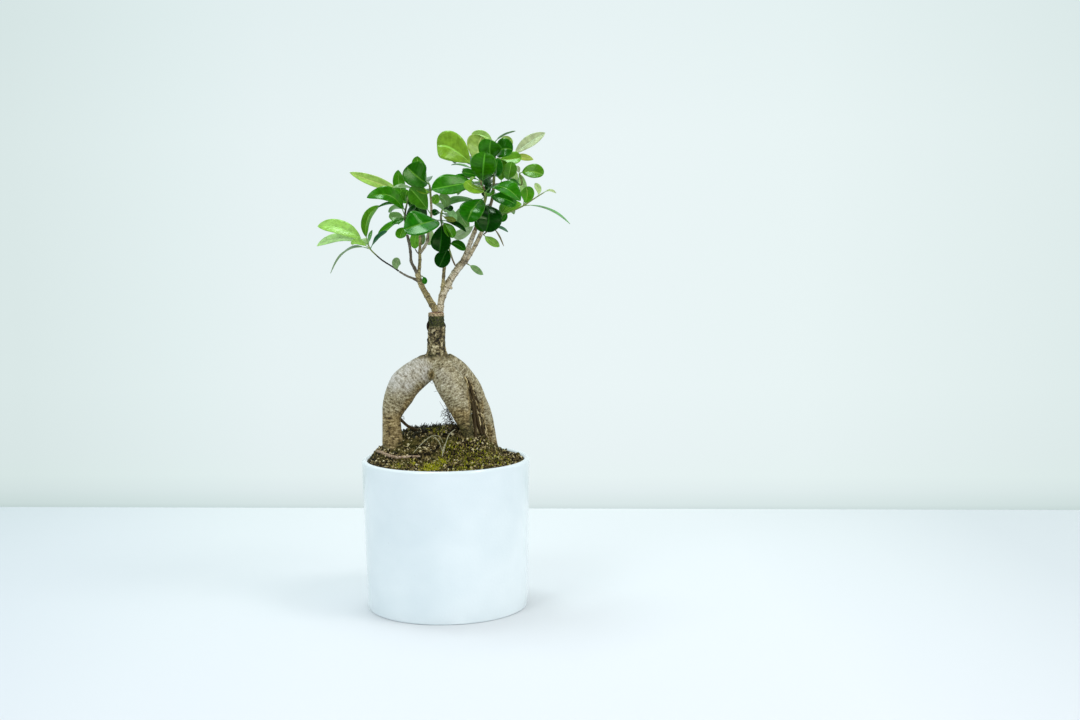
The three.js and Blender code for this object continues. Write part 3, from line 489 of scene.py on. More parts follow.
def scaled(tree, vector, sizes):
    """A vector stretched by three factors."""
    return node(tree, "ShaderNodeVectorMath", {"operation": "MULTIPLY"}, i0=vector, i1=sizes).outputs[0]


def clouds(tree, place, scale, detail=3.0, roughness=0.55):
    """Noise over a place, from 0 to 1."""
    made = node(tree, "ShaderNodeTexNoise", Vector=place, Scale=scale, Detail=detail, Roughness=roughness)
    return made.outputs[0]


def ramp(tree, value, stops):
    """A colour ramp of stops, each a position and a colour out of 255."""
    made = node(tree, "ShaderNodeValToRGB", Fac=value)
    elements = made.color_ramp.elements
    while len(elements) < len(stops):
        elements.new(0.5)
    for element, (position, colour) in zip(elements, stops):
        element.position = position
        element.color = tone(*colour)
    return made.outputs[0]


def step_up(tree, value, low, high):
    """0 below low, 1 above high and a smooth rise between."""
    settings = {"interpolation_type": "SMOOTHSTEP"}
    return node(tree, "ShaderNodeMapRange", settings, Value=value, From_Min=low, From_Max=high).outputs[0]


def blended(tree, share, first, second, how="MIX"):
    """Two colours mixed by a share."""
    settings = {"data_type": "RGBA", "blend_type": how}
    return node(tree, "ShaderNodeMix", settings, i0=share, i6=first, i7=second).outputs[2]


def attribute(tree, name):
    """A named attribute of the mesh, as a node."""
    return node(tree, "ShaderNodeAttribute", {"attribute_name": name})


def material(name, **steady):
    """A new node material with its steady sockets set, and its tree, shader and object coordinates."""
    made = bpy.data.materials.new(name)
    made.use_nodes = True
    tree = made.node_tree
    shader = tree.nodes["Principled BSDF"]
    for key, value in steady.items():
        shader.inputs[key.replace("_", " ")].default_value = value
    place = node(tree, "ShaderNodeTexCoord").outputs["Object"]
    return made, tree, shader, place


def coat_it(tree, shader, colour, roughness, height, strength, distance):
    """Wires colour, roughness and a bump from a height into the shader."""
    tree.links.new(colour, shader.inputs["Base Color"])
    tree.links.new(roughness, shader.inputs["Roughness"])
    bump = node(tree, "ShaderNodeBump", Height=height, Strength=strength, Distance=distance)
    tree.links.new(bump.outputs[0], shader.inputs["Normal"])


# Finishes

# How bark wrinkles along and across its grain, in noise per millimetre, and how fine its flakes are
WRINKLE_GRAIN = (0.22, 0.22, 0.75)
FLAKE_SCALE = 330.0


def white_glaze():
    """Glossy white glaze with a cool tint, faint clouds and the orange peel of a fired surface."""
    made, tree, shader, place = material("white_glaze", Coat_Weight=0.5, Coat_Roughness=0.06)
    broad = clouds(tree, place, 14.0)
    peel = clouds(tree, place, 420.0, 2.0)
    colour = ramp(tree, broad, [(0.35, (222, 232, 236)), (0.65, (232, 240, 243))])
    pinholes = step_up(tree, clouds(tree, place, 900.0, 1.0), 0.78, 0.82)
    colour = blended(tree, sums(tree, "MULTIPLY", pinholes, 0.35), colour, tone(150, 155, 152))
    roughness = sums(tree, "MULTIPLY_ADD", peel, 0.12, 0.14)
    coat_it(tree, shader, colour, roughness, sums(tree, "MULTIPLY_ADD", broad, 3.0, peel), 0.12, 0.0006)
    return made


def compost():
    """Dark damp compost: near black to tan crumbs, each with its own shade."""
    made, tree, shader, place = material("compost", Specular_IOR_Level=0.2)
    shade = attribute(tree, "shade").outputs["Fac"]
    fine = clouds(tree, place, 900.0, 4.0, 0.7)
    mixed = sums(tree, "MULTIPLY_ADD", fine, 0.4, sums(tree, "MULTIPLY", shade, 0.74))
    colour = ramp(tree, mixed, [
        (0.2, (7, 6, 2)), (0.42, (26, 21, 8)), (0.6, (86, 73, 37)),
        (0.8, (162, 144, 95)), (0.96, (240, 227, 184)),
    ])
    patch = step_up(tree, clouds(tree, place, 46.0, 2.0), 0.48, 0.62)
    colour = blended(tree, sums(tree, "MULTIPLY", patch, 0.3), colour, tone(104, 102, 34))
    roughness = sums(tree, "MULTIPLY_ADD", fine, 0.2, 0.75)
    coat_it(tree, shader, colour, roughness, fine, 0.6, 0.0008)
    return made


def moss():
    """Moss, each tuft in its own shade from dark olive to yellow green."""
    made, tree, shader, place = material("moss", Specular_IOR_Level=0.2)
    shade = attribute(tree, "shade").outputs["Fac"]
    fine = clouds(tree, place, 500.0, 3.0)
    mixed = sums(tree, "MULTIPLY_ADD", fine, 0.4, sums(tree, "MULTIPLY", shade, 0.7))
    colour = ramp(tree, mixed, [
        (0.2, (44, 48, 2)), (0.45, (134, 138, 6)), (0.7, (202, 200, 18)),
        (0.95, (232, 226, 84)),
    ])
    coat_it(tree, shader, colour, sums(tree, "MULTIPLY_ADD", fine, 0.2, 0.6), fine, 0.3, 0.0004)
    return made


# Tones of the roots' pale skin, and of each browner sort: how brown the skin is where it comes in and
# where it has taken over, and its tones. The pale skin is partly painted light on the lit side, and the
# browner sorts are partly painted shade on the side turned from the light
PALE_SKIN = [
    (0.38, (124, 114, 94)), (0.47, (174, 168, 154)), (0.55, (200, 195, 186)), (0.64, (226, 222, 214)),
]
BROWNER_SKINS = [
    (0.02, 0.4, [
        (0.38, (70, 58, 32)), (0.47, (134, 122, 90)), (0.55, (170, 160, 128)), (0.64, (208, 200, 174)),
    ]),
    (0.4, 0.75, [
        (0.38, (50, 37, 14)), (0.47, (112, 93, 54)), (0.55, (154, 135, 90)), (0.64, (200, 180, 134)),
    ]),
    (0.75, 1.1, [(0.38, (20, 17, 5)), (0.5, (70, 64, 28)), (0.64, (134, 122, 74))]),
]
FLAKY_BARK = [(0.37, (14, 11, 4)), (0.46, (62, 51, 27)), (0.54, (132, 118, 80)), (0.64, (208, 195, 158))]
MOSSY_BARK = [(0.4, (12, 18, 2)), (0.62, (74, 78, 26))]
BARE_COLLAR = [(0.38, (88, 72, 46)), (0.6, (190, 168, 130))]
CUT_WOOD = [(0.4, (150, 104, 74)), (0.6, (206, 170, 136))]
# Heights on the neck between which its mossy band comes in, and between which it gives way to the collar
BAND_RISES = (233.5 * MM, 236.5 * MM)
BAND_ENDS = (243.4 * MM, 244.6 * MM)


def root_bark():
    """Wrinkled skin from pale to brown and dark, partly painted light and shade; a flaky neck with a mossy
    band and a cut on top.
    """
    made, tree, shader, place = material("root_bark", Specular_IOR_Level=0.3)
    grain = attribute(tree, "grain").outputs["Vector"]
    skin = node(tree, "ShaderNodeSeparateXYZ", Vector=attribute(tree, "skin").outputs["Vector"])
    neck = skin.outputs[0]
    height = node(tree, "ShaderNodeSeparateXYZ", Vector=place).outputs[2]
    wrinkles = clouds(tree, scaled(tree, grain, WRINKLE_GRAIN), 1.0, 3.0, 0.6)
    specks = clouds(tree, place, 700.0, 3.0, 0.7)
    broad = clouds(tree, place, 60.0, 3.0)
    flakes = clouds(tree, place, FLAKE_SCALE, 4.0, 0.7)
    mixed = sums(tree, "MULTIPLY_ADD", specks, 0.5, sums(tree, "MULTIPLY", wrinkles, 0.5))
    # The skin's brownness carries painted light and shade: pale on the lit side, brown and dark where shade
    # falls
    brown = sums(tree, "ADD", skin.outputs[1], sums(tree, "MULTIPLY_ADD", broad, 0.5, -0.25))
    colour = ramp(tree, mixed, PALE_SKIN)
    for low, high, stops in BROWNER_SKINS:
        colour = blended(tree, step_up(tree, brown, low, high), colour, ramp(tree, mixed, stops))
    rising = step_up(tree, height, *BAND_RISES)
    ending = step_up(tree, height, *reversed(BAND_ENDS))
    band = sums(tree, "MULTIPLY", rising, ending)
    patches = sums(tree, "MULTIPLY", step_up(tree, clouds(tree, place, 120.0, 3.0), 0.5, 0.62), 0.5)
    green = sums(tree, "MAXIMUM", sums(tree, "MULTIPLY", band, 0.92), patches)
    flaky = blended(tree, green, ramp(tree, flakes, FLAKY_BARK), ramp(tree, specks, MOSSY_BARK))
    flaky = blended(tree, step_up(tree, height, *BAND_ENDS), flaky, ramp(tree, specks, BARE_COLLAR))
    rough = sums(tree, "MULTIPLY_ADD", broad, 0.5, sums(tree, "MULTIPLY_ADD", flakes, 0.5, neck))
    colour = blended(tree, step_up(tree, rough, 0.7, 1.25), colour, flaky)
    colour = blended(tree, step_up(tree, neck, 1.5, 1.7), colour, ramp(tree, specks, CUT_WOOD))
    relief = sums(tree, "MULTIPLY_ADD", wrinkles, 1.6, specks)
    coat_it(tree, shader, colour, sums(tree, "MULTIPLY_ADD", specks, 0.3, 0.5), relief, 0.5, 0.0009)
    return made


def twig_bark():
    """Tan grey bark with pale specks, dark ring scars and olive patches."""
    made, tree, shader, place = material("twig_bark")
    grain = attribute(tree, "grain").outputs["Vector"]
    fine = clouds(tree, scaled(tree, grain, (0.8, 0.8, 1.6)), 1.0, 3.0, 0.65)
    broad = clouds(tree, place, 110.0, 3.0)
    mixed = sums(tree, "MULTIPLY_ADD", fine, 0.6, sums(tree, "MULTIPLY", broad, 0.4))
    colour = ramp(tree, mixed, [
        (0.38, (86, 70, 44)), (0.46, (154, 137, 103)), (0.54, (204, 189, 156)),
        (0.62, (238, 229, 208)),
    ])
    olive = sums(tree, "MULTIPLY", attribute(tree, "olive").outputs["Fac"], 0.75)
    colour = blended(tree, olive, colour, ramp(tree, mixed, [
        (0.38, (62, 52, 14)), (0.48, (122, 107, 46)), (0.6, (190, 173, 106))]))
    along = node(tree, "ShaderNodeSeparateXYZ", Vector=grain).outputs[2]
    run = sums(tree, "FRACT", sums(tree, "MULTIPLY_ADD", along, 0.13, sums(tree, "MULTIPLY", broad, 1.4)))
    ring = step_up(tree, sums(tree, "ABSOLUTE", sums(tree, "SUBTRACT", run, 0.5)), 0.09, 0.03)
    colour = blended(tree, sums(tree, "MULTIPLY", ring, 0.55), colour, tone(60, 46, 24))
    dim = attribute(tree, "shade").outputs["Fac"]
    colour = blended(tree, dim, colour, tone(30, 26, 16))
    relief = sums(tree, "MULTIPLY_ADD", ring, -0.4, fine)
    coat_it(tree, shader, colour, sums(tree, "MULTIPLY_ADD", fine, 0.3, 0.45), relief, 0.6, 0.0006)
    return made


def root_fibre():
    """Thin roots, each with its own shade from near black to tan."""
    made, tree, shader, place = material("root_fibre", Specular_IOR_Level=0.2)
    own = sums(tree, "MULTIPLY", attribute(tree, "shade").outputs["Fac"], 0.75)
    fine = clouds(tree, place, 700.0, 4.0, 0.65)
    colour = ramp(tree, sums(tree, "MULTIPLY_ADD", fine, 0.4, own), [
        (0.2, (18, 13, 4)), (0.45, (68, 54, 28)), (0.7, (144, 124, 76)),
        (0.95, (216, 198, 150)),
    ])
    coat_it(tree, shader, colour, sums(tree, "MULTIPLY_ADD", fine, 0.2, 0.6), fine, 0.5, 0.0004)
    return made


def dry_root(name, dark, middle, light):
    """Dry fibre in three tones, mottled by fine noise."""
    made, tree, shader, place = material(name)
    fine = clouds(tree, place, 700.0, 4.0, 0.65)
    colour = ramp(tree, fine, [(0.34, dark), (0.5, middle), (0.68, light)])
    coat_it(tree, shader, colour, sums(tree, "MULTIPLY_ADD", fine, 0.2, 0.6), fine, 0.5, 0.0004)
    return made


VEIN_PAIRS = 9.0


def leaf_skin():
    """A leaf: its own tone, a pale midrib and side veins, faint blotches and a thin paler rim, which is
    painted light shining through the leaf's edge.
    """
    made, tree, shader, place = material(
        "leaf_skin", Specular_IOR_Level=0.3, Specular_Tint=tone(214, 255, 190))
    own = attribute(tree, "leaf_tone").outputs["Color"]
    vein_tone = attribute(tree, "vein_tone").outputs["Color"]
    parts = node(tree, "ShaderNodeSeparateXYZ", Vector=attribute(tree, "blade").outputs["Vector"])
    along = parts.outputs[0]
    across = sums(tree, "ABSOLUTE", parts.outputs[1])
    under = parts.outputs[2]
    blotch = clouds(tree, place, 240.0, 3.0)
    fine = clouds(tree, place, 1500.0, 2.0)
    midrib = sums(tree, "SUBTRACT", 1.0, step_up(tree, across, 0.02, 0.1))
    wobble = sums(tree, "MULTIPLY", blotch, 0.12)
    slanting = sums(tree, "SUBTRACT", along, sums(tree, "MULTIPLY", across, 0.16))
    run = sums(tree, "MULTIPLY_ADD", slanting, VEIN_PAIRS, wobble)
    near = sums(tree, "ABSOLUTE", sums(tree, "SUBTRACT", sums(tree, "FRACT", run), 0.5))
    side = sums(tree, "SUBTRACT", 1.0, step_up(tree, near, 0.03, 0.14))
    side = sums(tree, "MULTIPLY", side, sums(tree, "MULTIPLY_ADD", under, 0.35, 0.12))
    veins = sums(tree, "MAXIMUM", midrib, side)
    dim = ramp(tree, blotch, [(0.35, (214, 214, 214)), (0.65, (255, 255, 255))])
    colour = blended(tree, 1.0, own, dim, "MULTIPLY")
    # The paler rim is painted light through the thin edge of the blade
    rim = step_up(tree, across, 0.9, 1.0)
    colour = blended(tree, sums(tree, "MULTIPLY", rim, 0.45), colour, vein_tone)
    colour = blended(tree, sums(tree, "MULTIPLY", veins, 0.85), colour, vein_tone)
    pale = blended(tree, 0.3, colour, tone(150, 172, 128))
    colour = blended(tree, under, colour, pale)
    gloss = sums(tree, "MULTIPLY_ADD", blotch, 0.1, sums(tree, "MULTIPLY_ADD", under, 0.25, 0.15))
    height = sums(tree, "SUBTRACT", sums(tree, "MULTIPLY", fine, 0.3), veins)
    coat_it(tree, shader, colour, gloss, height, 0.35, 0.00035)
    return made


def green_stem():
    """A young stem, green at its tip and in its own bark tone where it joins the twig."""
    made, tree, shader, place = material("green_stem")
    woody = attribute(tree, "shade").outputs["Fac"]
    fine = clouds(tree, place, 800.0, 3.0)
    young = ramp(tree, fine, [(0.35, (96, 112, 42)), (0.65, (146, 162, 82))])
    dim = ramp(tree, fine, [(0.35, (150, 146, 140)), (0.6, (255, 255, 255))])
    old = blended(tree, 1.0, attribute(tree, "leaf_tone").outputs["Color"], dim, "MULTIPLY")
    barked = step_up(tree, sums(tree, "MULTIPLY_ADD", fine, 0.4, woody), 0.45, 0.9)
    colour = blended(tree, barked, young, old)
    coat_it(tree, shader, colour, sums(tree, "MULTIPLY_ADD", fine, 0.2, 0.4), fine, 0.3, 0.0003)
    return made


GLAZE = white_glaze()
COMPOST = compost()
MOSS = moss()
ROOT_BARK = root_bark()
TWIG_BARK = twig_bark()
DEAD_ROOT = dry_root("dead_root", (96, 72, 50), (156, 130, 102), (206, 188, 164))
STRAW = dry_root("dry_straw", (120, 116, 84), (172, 168, 132), (210, 206, 178))
FIBRE = root_fibre()
HUMUS = dry_root("dark_humus", (8, 9, 3), (34, 34, 14), (92, 88, 52))
LEAF_SKIN = leaf_skin()
GREEN_STEM = green_stem()


# Shapes by Geometry Nodes

def shaping(name, **kinds):
    """A geometry tree with a mesh in, a mesh out and named inputs of the given kinds."""
    tree = bpy.data.node_groups.new(name, "GeometryNodeTree")
    face = tree.interface
    face.new_socket("Geometry", in_out="INPUT", socket_type="NodeSocketGeometry")
    for key, kind in kinds.items():
        face.new_socket(key, in_out="INPUT", socket_type="NodeSocket" + kind)
    face.new_socket("Geometry", in_out="OUTPUT", socket_type="NodeSocketGeometry")
    return tree, tree.nodes.new("NodeGroupInput").outputs


def closed_off(tree, geometry, finish):
    """The end that every tree has: real faces, smooth, with their material."""
    real = node(tree, "GeometryNodeRealizeInstances", Geometry=geometry).outputs[0]
    smooth = node(tree, "GeometryNodeSetShadeSmooth", Geometry=real).outputs[0]
    done = node(tree, "GeometryNodeSetMaterial", Geometry=smooth, Material=finish).outputs[0]
    end = tree.nodes.new("NodeGroupOutput")
    tree.links.new(done, end.inputs[0])
    return tree


def number_of(tree, name, kind="FLOAT"):
    """A named attribute in a geometry tree."""
    return node(tree, "GeometryNodeInputNamedAttribute", {"data_type": kind}, Name=name).outputs[0]


def kept(tree, geometry, name, value, kind="FLOAT", domain="POINT"):
    """The geometry with a value stored under a name."""
    settings = {"data_type": kind, "domain": domain}
    return node(tree, "GeometryNodeStoreNamedAttribute", settings,
                Geometry=geometry, Name=name, Value=value).outputs[0]


def chance(tree, low, high, seed):
    """A random number for each element."""
    return node(tree, "FunctionNodeRandomValue", {"data_type": "FLOAT"}, i2=low, i3=high, i8=seed).outputs[1]


def tube_tree():
    """A round tube along each chain of edges, as thick as the attribute thick says, closed at its ends."""
    tree, given = shaping("tube", Sides="Int", Finish="Material")
    path = node(tree, "GeometryNodeMeshToCurve", Mesh=given["Geometry"]).outputs[0]
    ring = node(tree, "GeometryNodeCurvePrimitiveCircle", Resolution=given["Sides"], Radius=1.0).outputs[0]
    spoke = node(tree, "GeometryNodeInputPosition").outputs[0]
    ring = kept(tree, ring, "spoke", spoke, "FLOAT_VECTOR")
    thick = number_of(tree, "thick")
    tube = node(tree, "GeometryNodeCurveToMesh", Curve=path, Profile_Curve=ring, Scale=thick,
                Fill_Caps=True).outputs[0]
    return closed_off(tree, tube, given["Finish"])


def bark_tree():
    """Skin moved along its normal: wrinkles across the grain, lumps, and rough flakes where it is told."""
    tree, given = shaping("bark", Wrinkles="Float", Lumps="Float", Flakes="Float", Finish="Material")
    grain = scaled(tree, number_of(tree, "grain", "FLOAT_VECTOR"), WRINKLE_GRAIN)
    place = node(tree, "GeometryNodeInputPosition").outputs[0]
    normal = node(tree, "GeometryNodeInputNormal").outputs[0]
    rough = number_of(tree, "rough")

    def moved(noise, most):
        return sums(tree, "MULTIPLY", sums(tree, "SUBTRACT", noise, 0.5), most)

    wrinkle = moved(clouds(tree, grain, 1.0, 3.0, 0.6), given["Wrinkles"])
    wrinkle = sums(tree, "MULTIPLY", wrinkle, number_of(tree, "seam"))
    lump = moved(clouds(tree, place, 70.0, 2.0), given["Lumps"])
    flake = sums(tree, "MULTIPLY", moved(clouds(tree, place, FLAKE_SCALE, 4.0, 0.7), given["Flakes"]), rough)
    height = sums(tree, "ADD", sums(tree, "ADD", wrinkle, lump), flake)
    shift = node(tree, "ShaderNodeVectorMath", {"operation": "SCALE"}, i0=normal, Scale=height).outputs[0]
    skin = node(tree, "GeometryNodeSetPosition", Geometry=given["Geometry"], Offset=shift).outputs[0]
    return closed_off(tree, skin, given["Finish"])


def scatter_tree(name, shape, lean):
    """Many small shapes on faces, by the attribute share; each is turned, sized and shaded at random."""
    tree, given = shaping(name, Density="Float", Smallest="Float", Largest="Float", Seed="Int",
                          Finish="Material")
    share = number_of(tree, "share")
    dense = sums(tree, "MULTIPLY", share, given["Density"])
    spread = node(tree, "GeometryNodeDistributePointsOnFaces", {"distribute_method": "RANDOM"},
                  Mesh=given["Geometry"], Density=dense, Seed=given["Seed"])
    one = shape(tree)
    turn = node(tree, "FunctionNodeRandomValue", {"data_type": "FLOAT_VECTOR"},
                i0=(-lean, -lean, 0.0), i1=(lean, lean, 2 * math.pi), i8=3).outputs[0]
    turn = node(tree, "FunctionNodeEulerToRotation", Euler=turn).outputs[0]
    size = node(tree, "FunctionNodeRandomValue", {"data_type": "FLOAT"}, i2=given["Smallest"],
                i3=given["Largest"], i8=5).outputs[1]
    flat = node(tree, "FunctionNodeRandomValue", {"data_type": "FLOAT_VECTOR"},
                i0=(0.6, 0.6, 0.5), i1=(1.2, 1.2, 1.0), i8=7).outputs[0]
    size = node(tree, "ShaderNodeVectorMath", {"operation": "SCALE"}, i0=flat, Scale=size).outputs[0]
    placed = node(tree, "GeometryNodeInstanceOnPoints", Points=spread.outputs[0], Instance=one,
                  Rotation=turn, Scale=size).outputs[0]
    placed = kept(tree, placed, "shade", chance(tree, 0.0, 1.0, 11), "FLOAT", "INSTANCE")
    return closed_off(tree, placed, given["Finish"])


def crumb_shape(tree, fineness=1):
    """One gritty crumb of unit size."""
    ball = node(tree, "GeometryNodeMeshIcoSphere", Radius=0.5, Subdivisions=fineness).outputs[0]
    place = node(tree, "GeometryNodeInputPosition").outputs[0]
    normal = node(tree, "GeometryNodeInputNormal").outputs[0]
    height = sums(tree, "MULTIPLY", sums(tree, "SUBTRACT", clouds(tree, place, 2.6, 1.0), 0.5), 0.9)
    shift = node(tree, "ShaderNodeVectorMath", {"operation": "SCALE"}, i0=normal, Scale=height).outputs[0]
    return node(tree, "GeometryNodeSetPosition", Geometry=ball, Offset=shift).outputs[0]


def spike_shape(tree):
    """One upright tapered blade of unit height."""
    return node(tree, "GeometryNodeMeshCone", Vertices=4, Side_Segments=2, Radius_Top=0.02,
                Radius_Bottom=0.12, Depth=1.0).outputs[0]


def shaped(piece, tree, **given):
    """The piece as a plain mesh, once the tree has shaped it with the given inputs."""
    modifier = piece.modifiers.new("shape", "NODES")
    modifier.node_group = tree
    for item in tree.interface.items_tree:
        if item.in_out == "INPUT" and item.name in given:
            modifier[item.identifier] = given[item.name]
    return evaluated(piece)


def evaluated(piece):
    """The piece with its modifiers applied, as a plain mesh under its own name."""
    bpy.context.view_layer.update()
    graph = bpy.context.evaluated_depsgraph_get()
    done = bpy.data.meshes.new_from_object(
        piece.evaluated_get(graph), preserve_all_data_layers=True, depsgraph=graph)
    piece.modifiers.clear()
    piece.data = done
    return piece


TUBE = tube_tree()
BARK = bark_tree()
CRUMBS = scatter_tree("crumbs", crumb_shape, math.pi)
CLODS = scatter_tree("clods", lambda tree: crumb_shape(tree, 2), math.pi)
SPIKES = scatter_tree("spikes", spike_shape, 0.7)


# Places and meshes

def new_piece(name, vertices, edges=(), faces=()):
    """A mesh object in the scene, from places in millimetres."""
    mesh = bpy.data.meshes.new(name)
    mesh.from_pydata([tuple(MM * c for c in v) for v in vertices], edges, faces)
    piece = bpy.data.objects.new(name, mesh)
    bpy.context.scene.collection.objects.link(piece)
    return piece


def keep_numbers(piece, name, values, kind="FLOAT"):
    """Stores a number, a vector or a colour for each vertex of the piece."""
    field = {"FLOAT": "value", "FLOAT_VECTOR": "vector", "FLOAT_COLOR": "color"}[kind]
    layer = piece.data.attributes.new(name, kind, "POINT")
    layer.data.foreach_set(field, np.asarray(values, np.float32).ravel())


def places_of(piece):
    """Every vertex of the piece, in millimetres."""
    place = np.zeros(3 * len(piece.data.vertices), np.float32)
    piece.data.vertices.foreach_get("co", place)
    return place.reshape(-1, 3) / MM


def normals_of(piece):
    """The normal at every vertex of the piece."""
    normal = np.zeros(3 * len(piece.data.vertices), np.float32)
    piece.data.vertices.foreach_get("normal", normal)
    return normal.reshape(-1, 3)


def seen(x, y, z):
    """A point seen at x, z in the plane y = 0, at its own depth y."""
    reach = 1 + y / EYE_DISTANCE
    return np.array([x * reach, y, EYE_HEIGHT + (z - EYE_HEIGHT) * reach])


def seen_route(rows):
    """The rows x, y, z, radius of a route that the front view gave, at their own depths."""
    return np.array([[*seen(x, y, z), radius] for x, y, z, radius in rows])


def flowing(rows, step):
    """Rows of x, y, z, radius about every step along the smooth line through the given rows."""
    rows = np.vstack([2 * rows[0] - rows[1], rows, 2 * rows[-1] - rows[-2]])
    found = []
    for a, b, c, d in zip(rows, rows[1:], rows[2:], rows[3:]):
        knots = np.cumsum([0] + [max(np.linalg.norm(q[:3] - p[:3]), 0.01) ** 0.5
                                 for p, q in ((a, b), (b, c), (c, d))])
        ta, tb, tc, td = knots
        count = max(2, round(np.linalg.norm(c[:3] - b[:3]) / step))
        t = np.linspace(tb, tc, count, endpoint=False)[:, None]
        ab = (tb - t) / (tb - ta) * a + (t - ta) / (tb - ta) * b
        bc = (tc - t) / (tc - tb) * b + (t - tb) / (tc - tb) * c
        cd = (td - t) / (td - tc) * c + (t - tc) / (td - tc) * d
        abc = (tc - t) / (tc - ta) * ab + (t - ta) / (tc - ta) * bc
        bcd = (td - t) / (td - tb) * bc + (t - tb) / (td - tb) * cd
        found.append((tc - t) / (tc - tb) * abc + (t - tb) / (tc - tb) * bcd)
    return np.vstack(found + [rows[-2:-1]])


def tubes(name, routes, sides, finish, shades=None):
    """One piece of round tubes along dense routes of x, y, z, radius."""
    vertices, edges, thick, shade = [], [], [], []
    for number, route in enumerate(routes):
        start = len(vertices)
        vertices.extend(route[:, :3])
        edges.extend((start + i, start + i + 1) for i in range(len(route) - 1))
        thick.extend(route[:, 3] * MM)
        shade.extend(np.zeros(len(route)) if shades is None else shades[number])
    piece = new_piece(name, vertices, edges)
    keep_numbers(piece, "thick", thick)
    keep_numbers(piece, "shade", shade)
    return shaped(piece, TUBE, Sides=sides, Finish=finish)


def finished(piece, slot, *nodes):
    """Hands a piece over: it rides on the body and stands for CAD nodes, which it hides; its slot is not
    used.
    """
    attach(piece, "root")
    if nodes:
        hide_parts(*nodes)
    return piece


# Pot

POT_SIDES = 192
# How high the hollow under the pot is, and the inner side of the foot ring: how far in and how high
FOOT_HOLLOW = 1.2
FOOT_RING = [(9, FOOT_HOLLOW), (7.6, 0.5), (6.5, 0.02)]


def rounded(centre, radius, start, end, count):
    """Points of an arc about a centre of radius, height, from one angle in degrees to another."""
    angles = np.radians(np.linspace(start, end, count))
    return [(centre[0] + radius * math.cos(a), centre[1] + radius * math.sin(a)) for a in angles]


def turned(name, profile, sides, finish):
    """A profile of radius, height turned round the Z axis, closed at both ends on the axis."""
    angles = np.linspace(0, 2 * math.pi, sides, endpoint=False)
    rings = profile[1:-1]
    vertices = [(r * math.cos(a), r * math.sin(a), z) for r, z in rings for a in angles]
    faces = []
    for ring in range(len(rings) - 1):
        low, high = ring * sides, (ring + 1) * sides
        for i in range(sides):
            j = (i + 1) % sides
            faces.append((low + i, low + j, high + j, high + i))
    for (r, z), ring, flip in ((profile[0], 0, True), (profile[-1], len(rings) - 1, False)):
        pole = len(vertices)
        vertices.append((0, 0, z))
        for i in range(sides):
            edge = (ring * sides + i, ring * sides + (i + 1) % sides)
            faces.append((pole, *reversed(edge)) if flip else (pole, *edge))
    piece = new_piece(name, vertices, faces=faces)
    piece.data.materials.append(finish)
    piece.data.polygons.foreach_set("use_smooth", [True] * len(piece.data.polygons))
    return piece


def pot():
    """The round pot with a hollow and a turned foot ring under it, and a soft rim."""
    shoulder = POT_HEIGHT - POT_RIM_ROUND
    inner_top = POT_TOP_RADIUS - POT_WALL
    inner_foot = POT_FOOT_RADIUS - POT_WALL
    foot = POT_FOOT_RADIUS - POT_FOOT_ROUND
    inner_floor = POT_FLOOR + POT_INNER_ROUND
    wall = [(POT_FOOT_RADIUS + (POT_TOP_RADIUS - POT_FOOT_RADIUS) * s,
             POT_FOOT_ROUND + (shoulder - POT_FOOT_ROUND) * s) for s in np.linspace(0, 1, 14)[1:-1]]
    inner_wall = [(inner_top + (inner_foot - inner_top) * s, shoulder + (inner_floor - shoulder) * s)
                  for s in np.linspace(0, 1, 8)[1:-1]]
    profile = [
        (0, FOOT_HOLLOW), *[(foot - inset, height) for inset, height in FOOT_RING],
        *rounded((foot, POT_FOOT_ROUND), POT_FOOT_ROUND, -90, 0, 7),
        *wall,
        *rounded((POT_TOP_RADIUS - POT_RIM_ROUND, shoulder), POT_RIM_ROUND, 0, 180, 13),
        *inner_wall,
        *rounded((inner_foot - POT_INNER_ROUND, inner_floor), POT_INNER_ROUND, 0, -90, 5),
        (0, POT_FLOOR),
    ]
    return finished(turned("pot_glazed", profile, POT_SIDES, GLAZE), "white_glaze", "pot")


# Soil

def soil_height(x, y):
    """Height of the soil's surface: a broad mound round the roots, with lesser heaps and crumbs on it."""
    mound = MOUND["height"] * np.exp(
        -(np.abs(x - MOUND["x"]) / MOUND["reach_x"]) ** MOUND["steep_x"]
        - (np.abs(y - MOUND["y"]) / MOUND["reach_y"]) ** MOUND["steep_y"])
    heaps = sum(h * np.exp(-((x - hx) / rx) ** 2 - ((y - hy) / ry) ** 2) for hx, hy, h, rx, ry in HEAPS)
    crumbs = 0.7 * np.sin(0.31 * x + 0.5) * np.cos(0.27 * y) + 0.4 * np.sin(0.55 * y + 0.4 * x)
    inside = np.minimum(1, (POT_TOP_RADIUS - np.hypot(x, y)) / SOIL_RIM_FADE)
    return SOIL_EDGE_HEIGHT + mound + (heaps + crumbs) * inside


# Where moss grows: x, y, radius, how thick it stands
MOSS_PATCHES = [
    (-11, -46, 7, 1.0), (-3, -38, 4, 0.9), (-16, -52, 5, 0.7), (-27, -38, 3, 0.5), (3, -26, 6, 0.25),
    (12, -34, 12, 0.16), (30, -34, 14, 0.14), (45, -22, 10, 0.14), (-40, -44, 8, 0.12), (14, -52, 10, 0.16),
    (-5, 2, 9, 0.4), (-45, 20, 12, 0.4), (10, 45, 14, 0.5), (40, 35, 10, 0.4), (-20, 48, 10, 0.5),
]
# The rough top of the compost: its rings and sectors, how rough it is, and how near the pot it smooths out
GRIT_STEP = 0.75
GRIT_SECTORS = 300
GRIT_HEIGHT = 0.42
GRIT_FADE = 3
# Where crumbs, moss and fibres stop before the pot's wall, and over what width they thin out
STREWN_GAP = 1.6
STREWN_FADE = 1.5
# Where clods lie thickest: x, y, how far that reaches, and how thick they lie elsewhere
CLOD_HEAP = (-12, 10, 34, 0.12)
# The crest of matted fibres: x, y, reach along x, reach along y
CREST = (-14, 14, 24, 14)
MOSS_STEEPNESS = 1.6


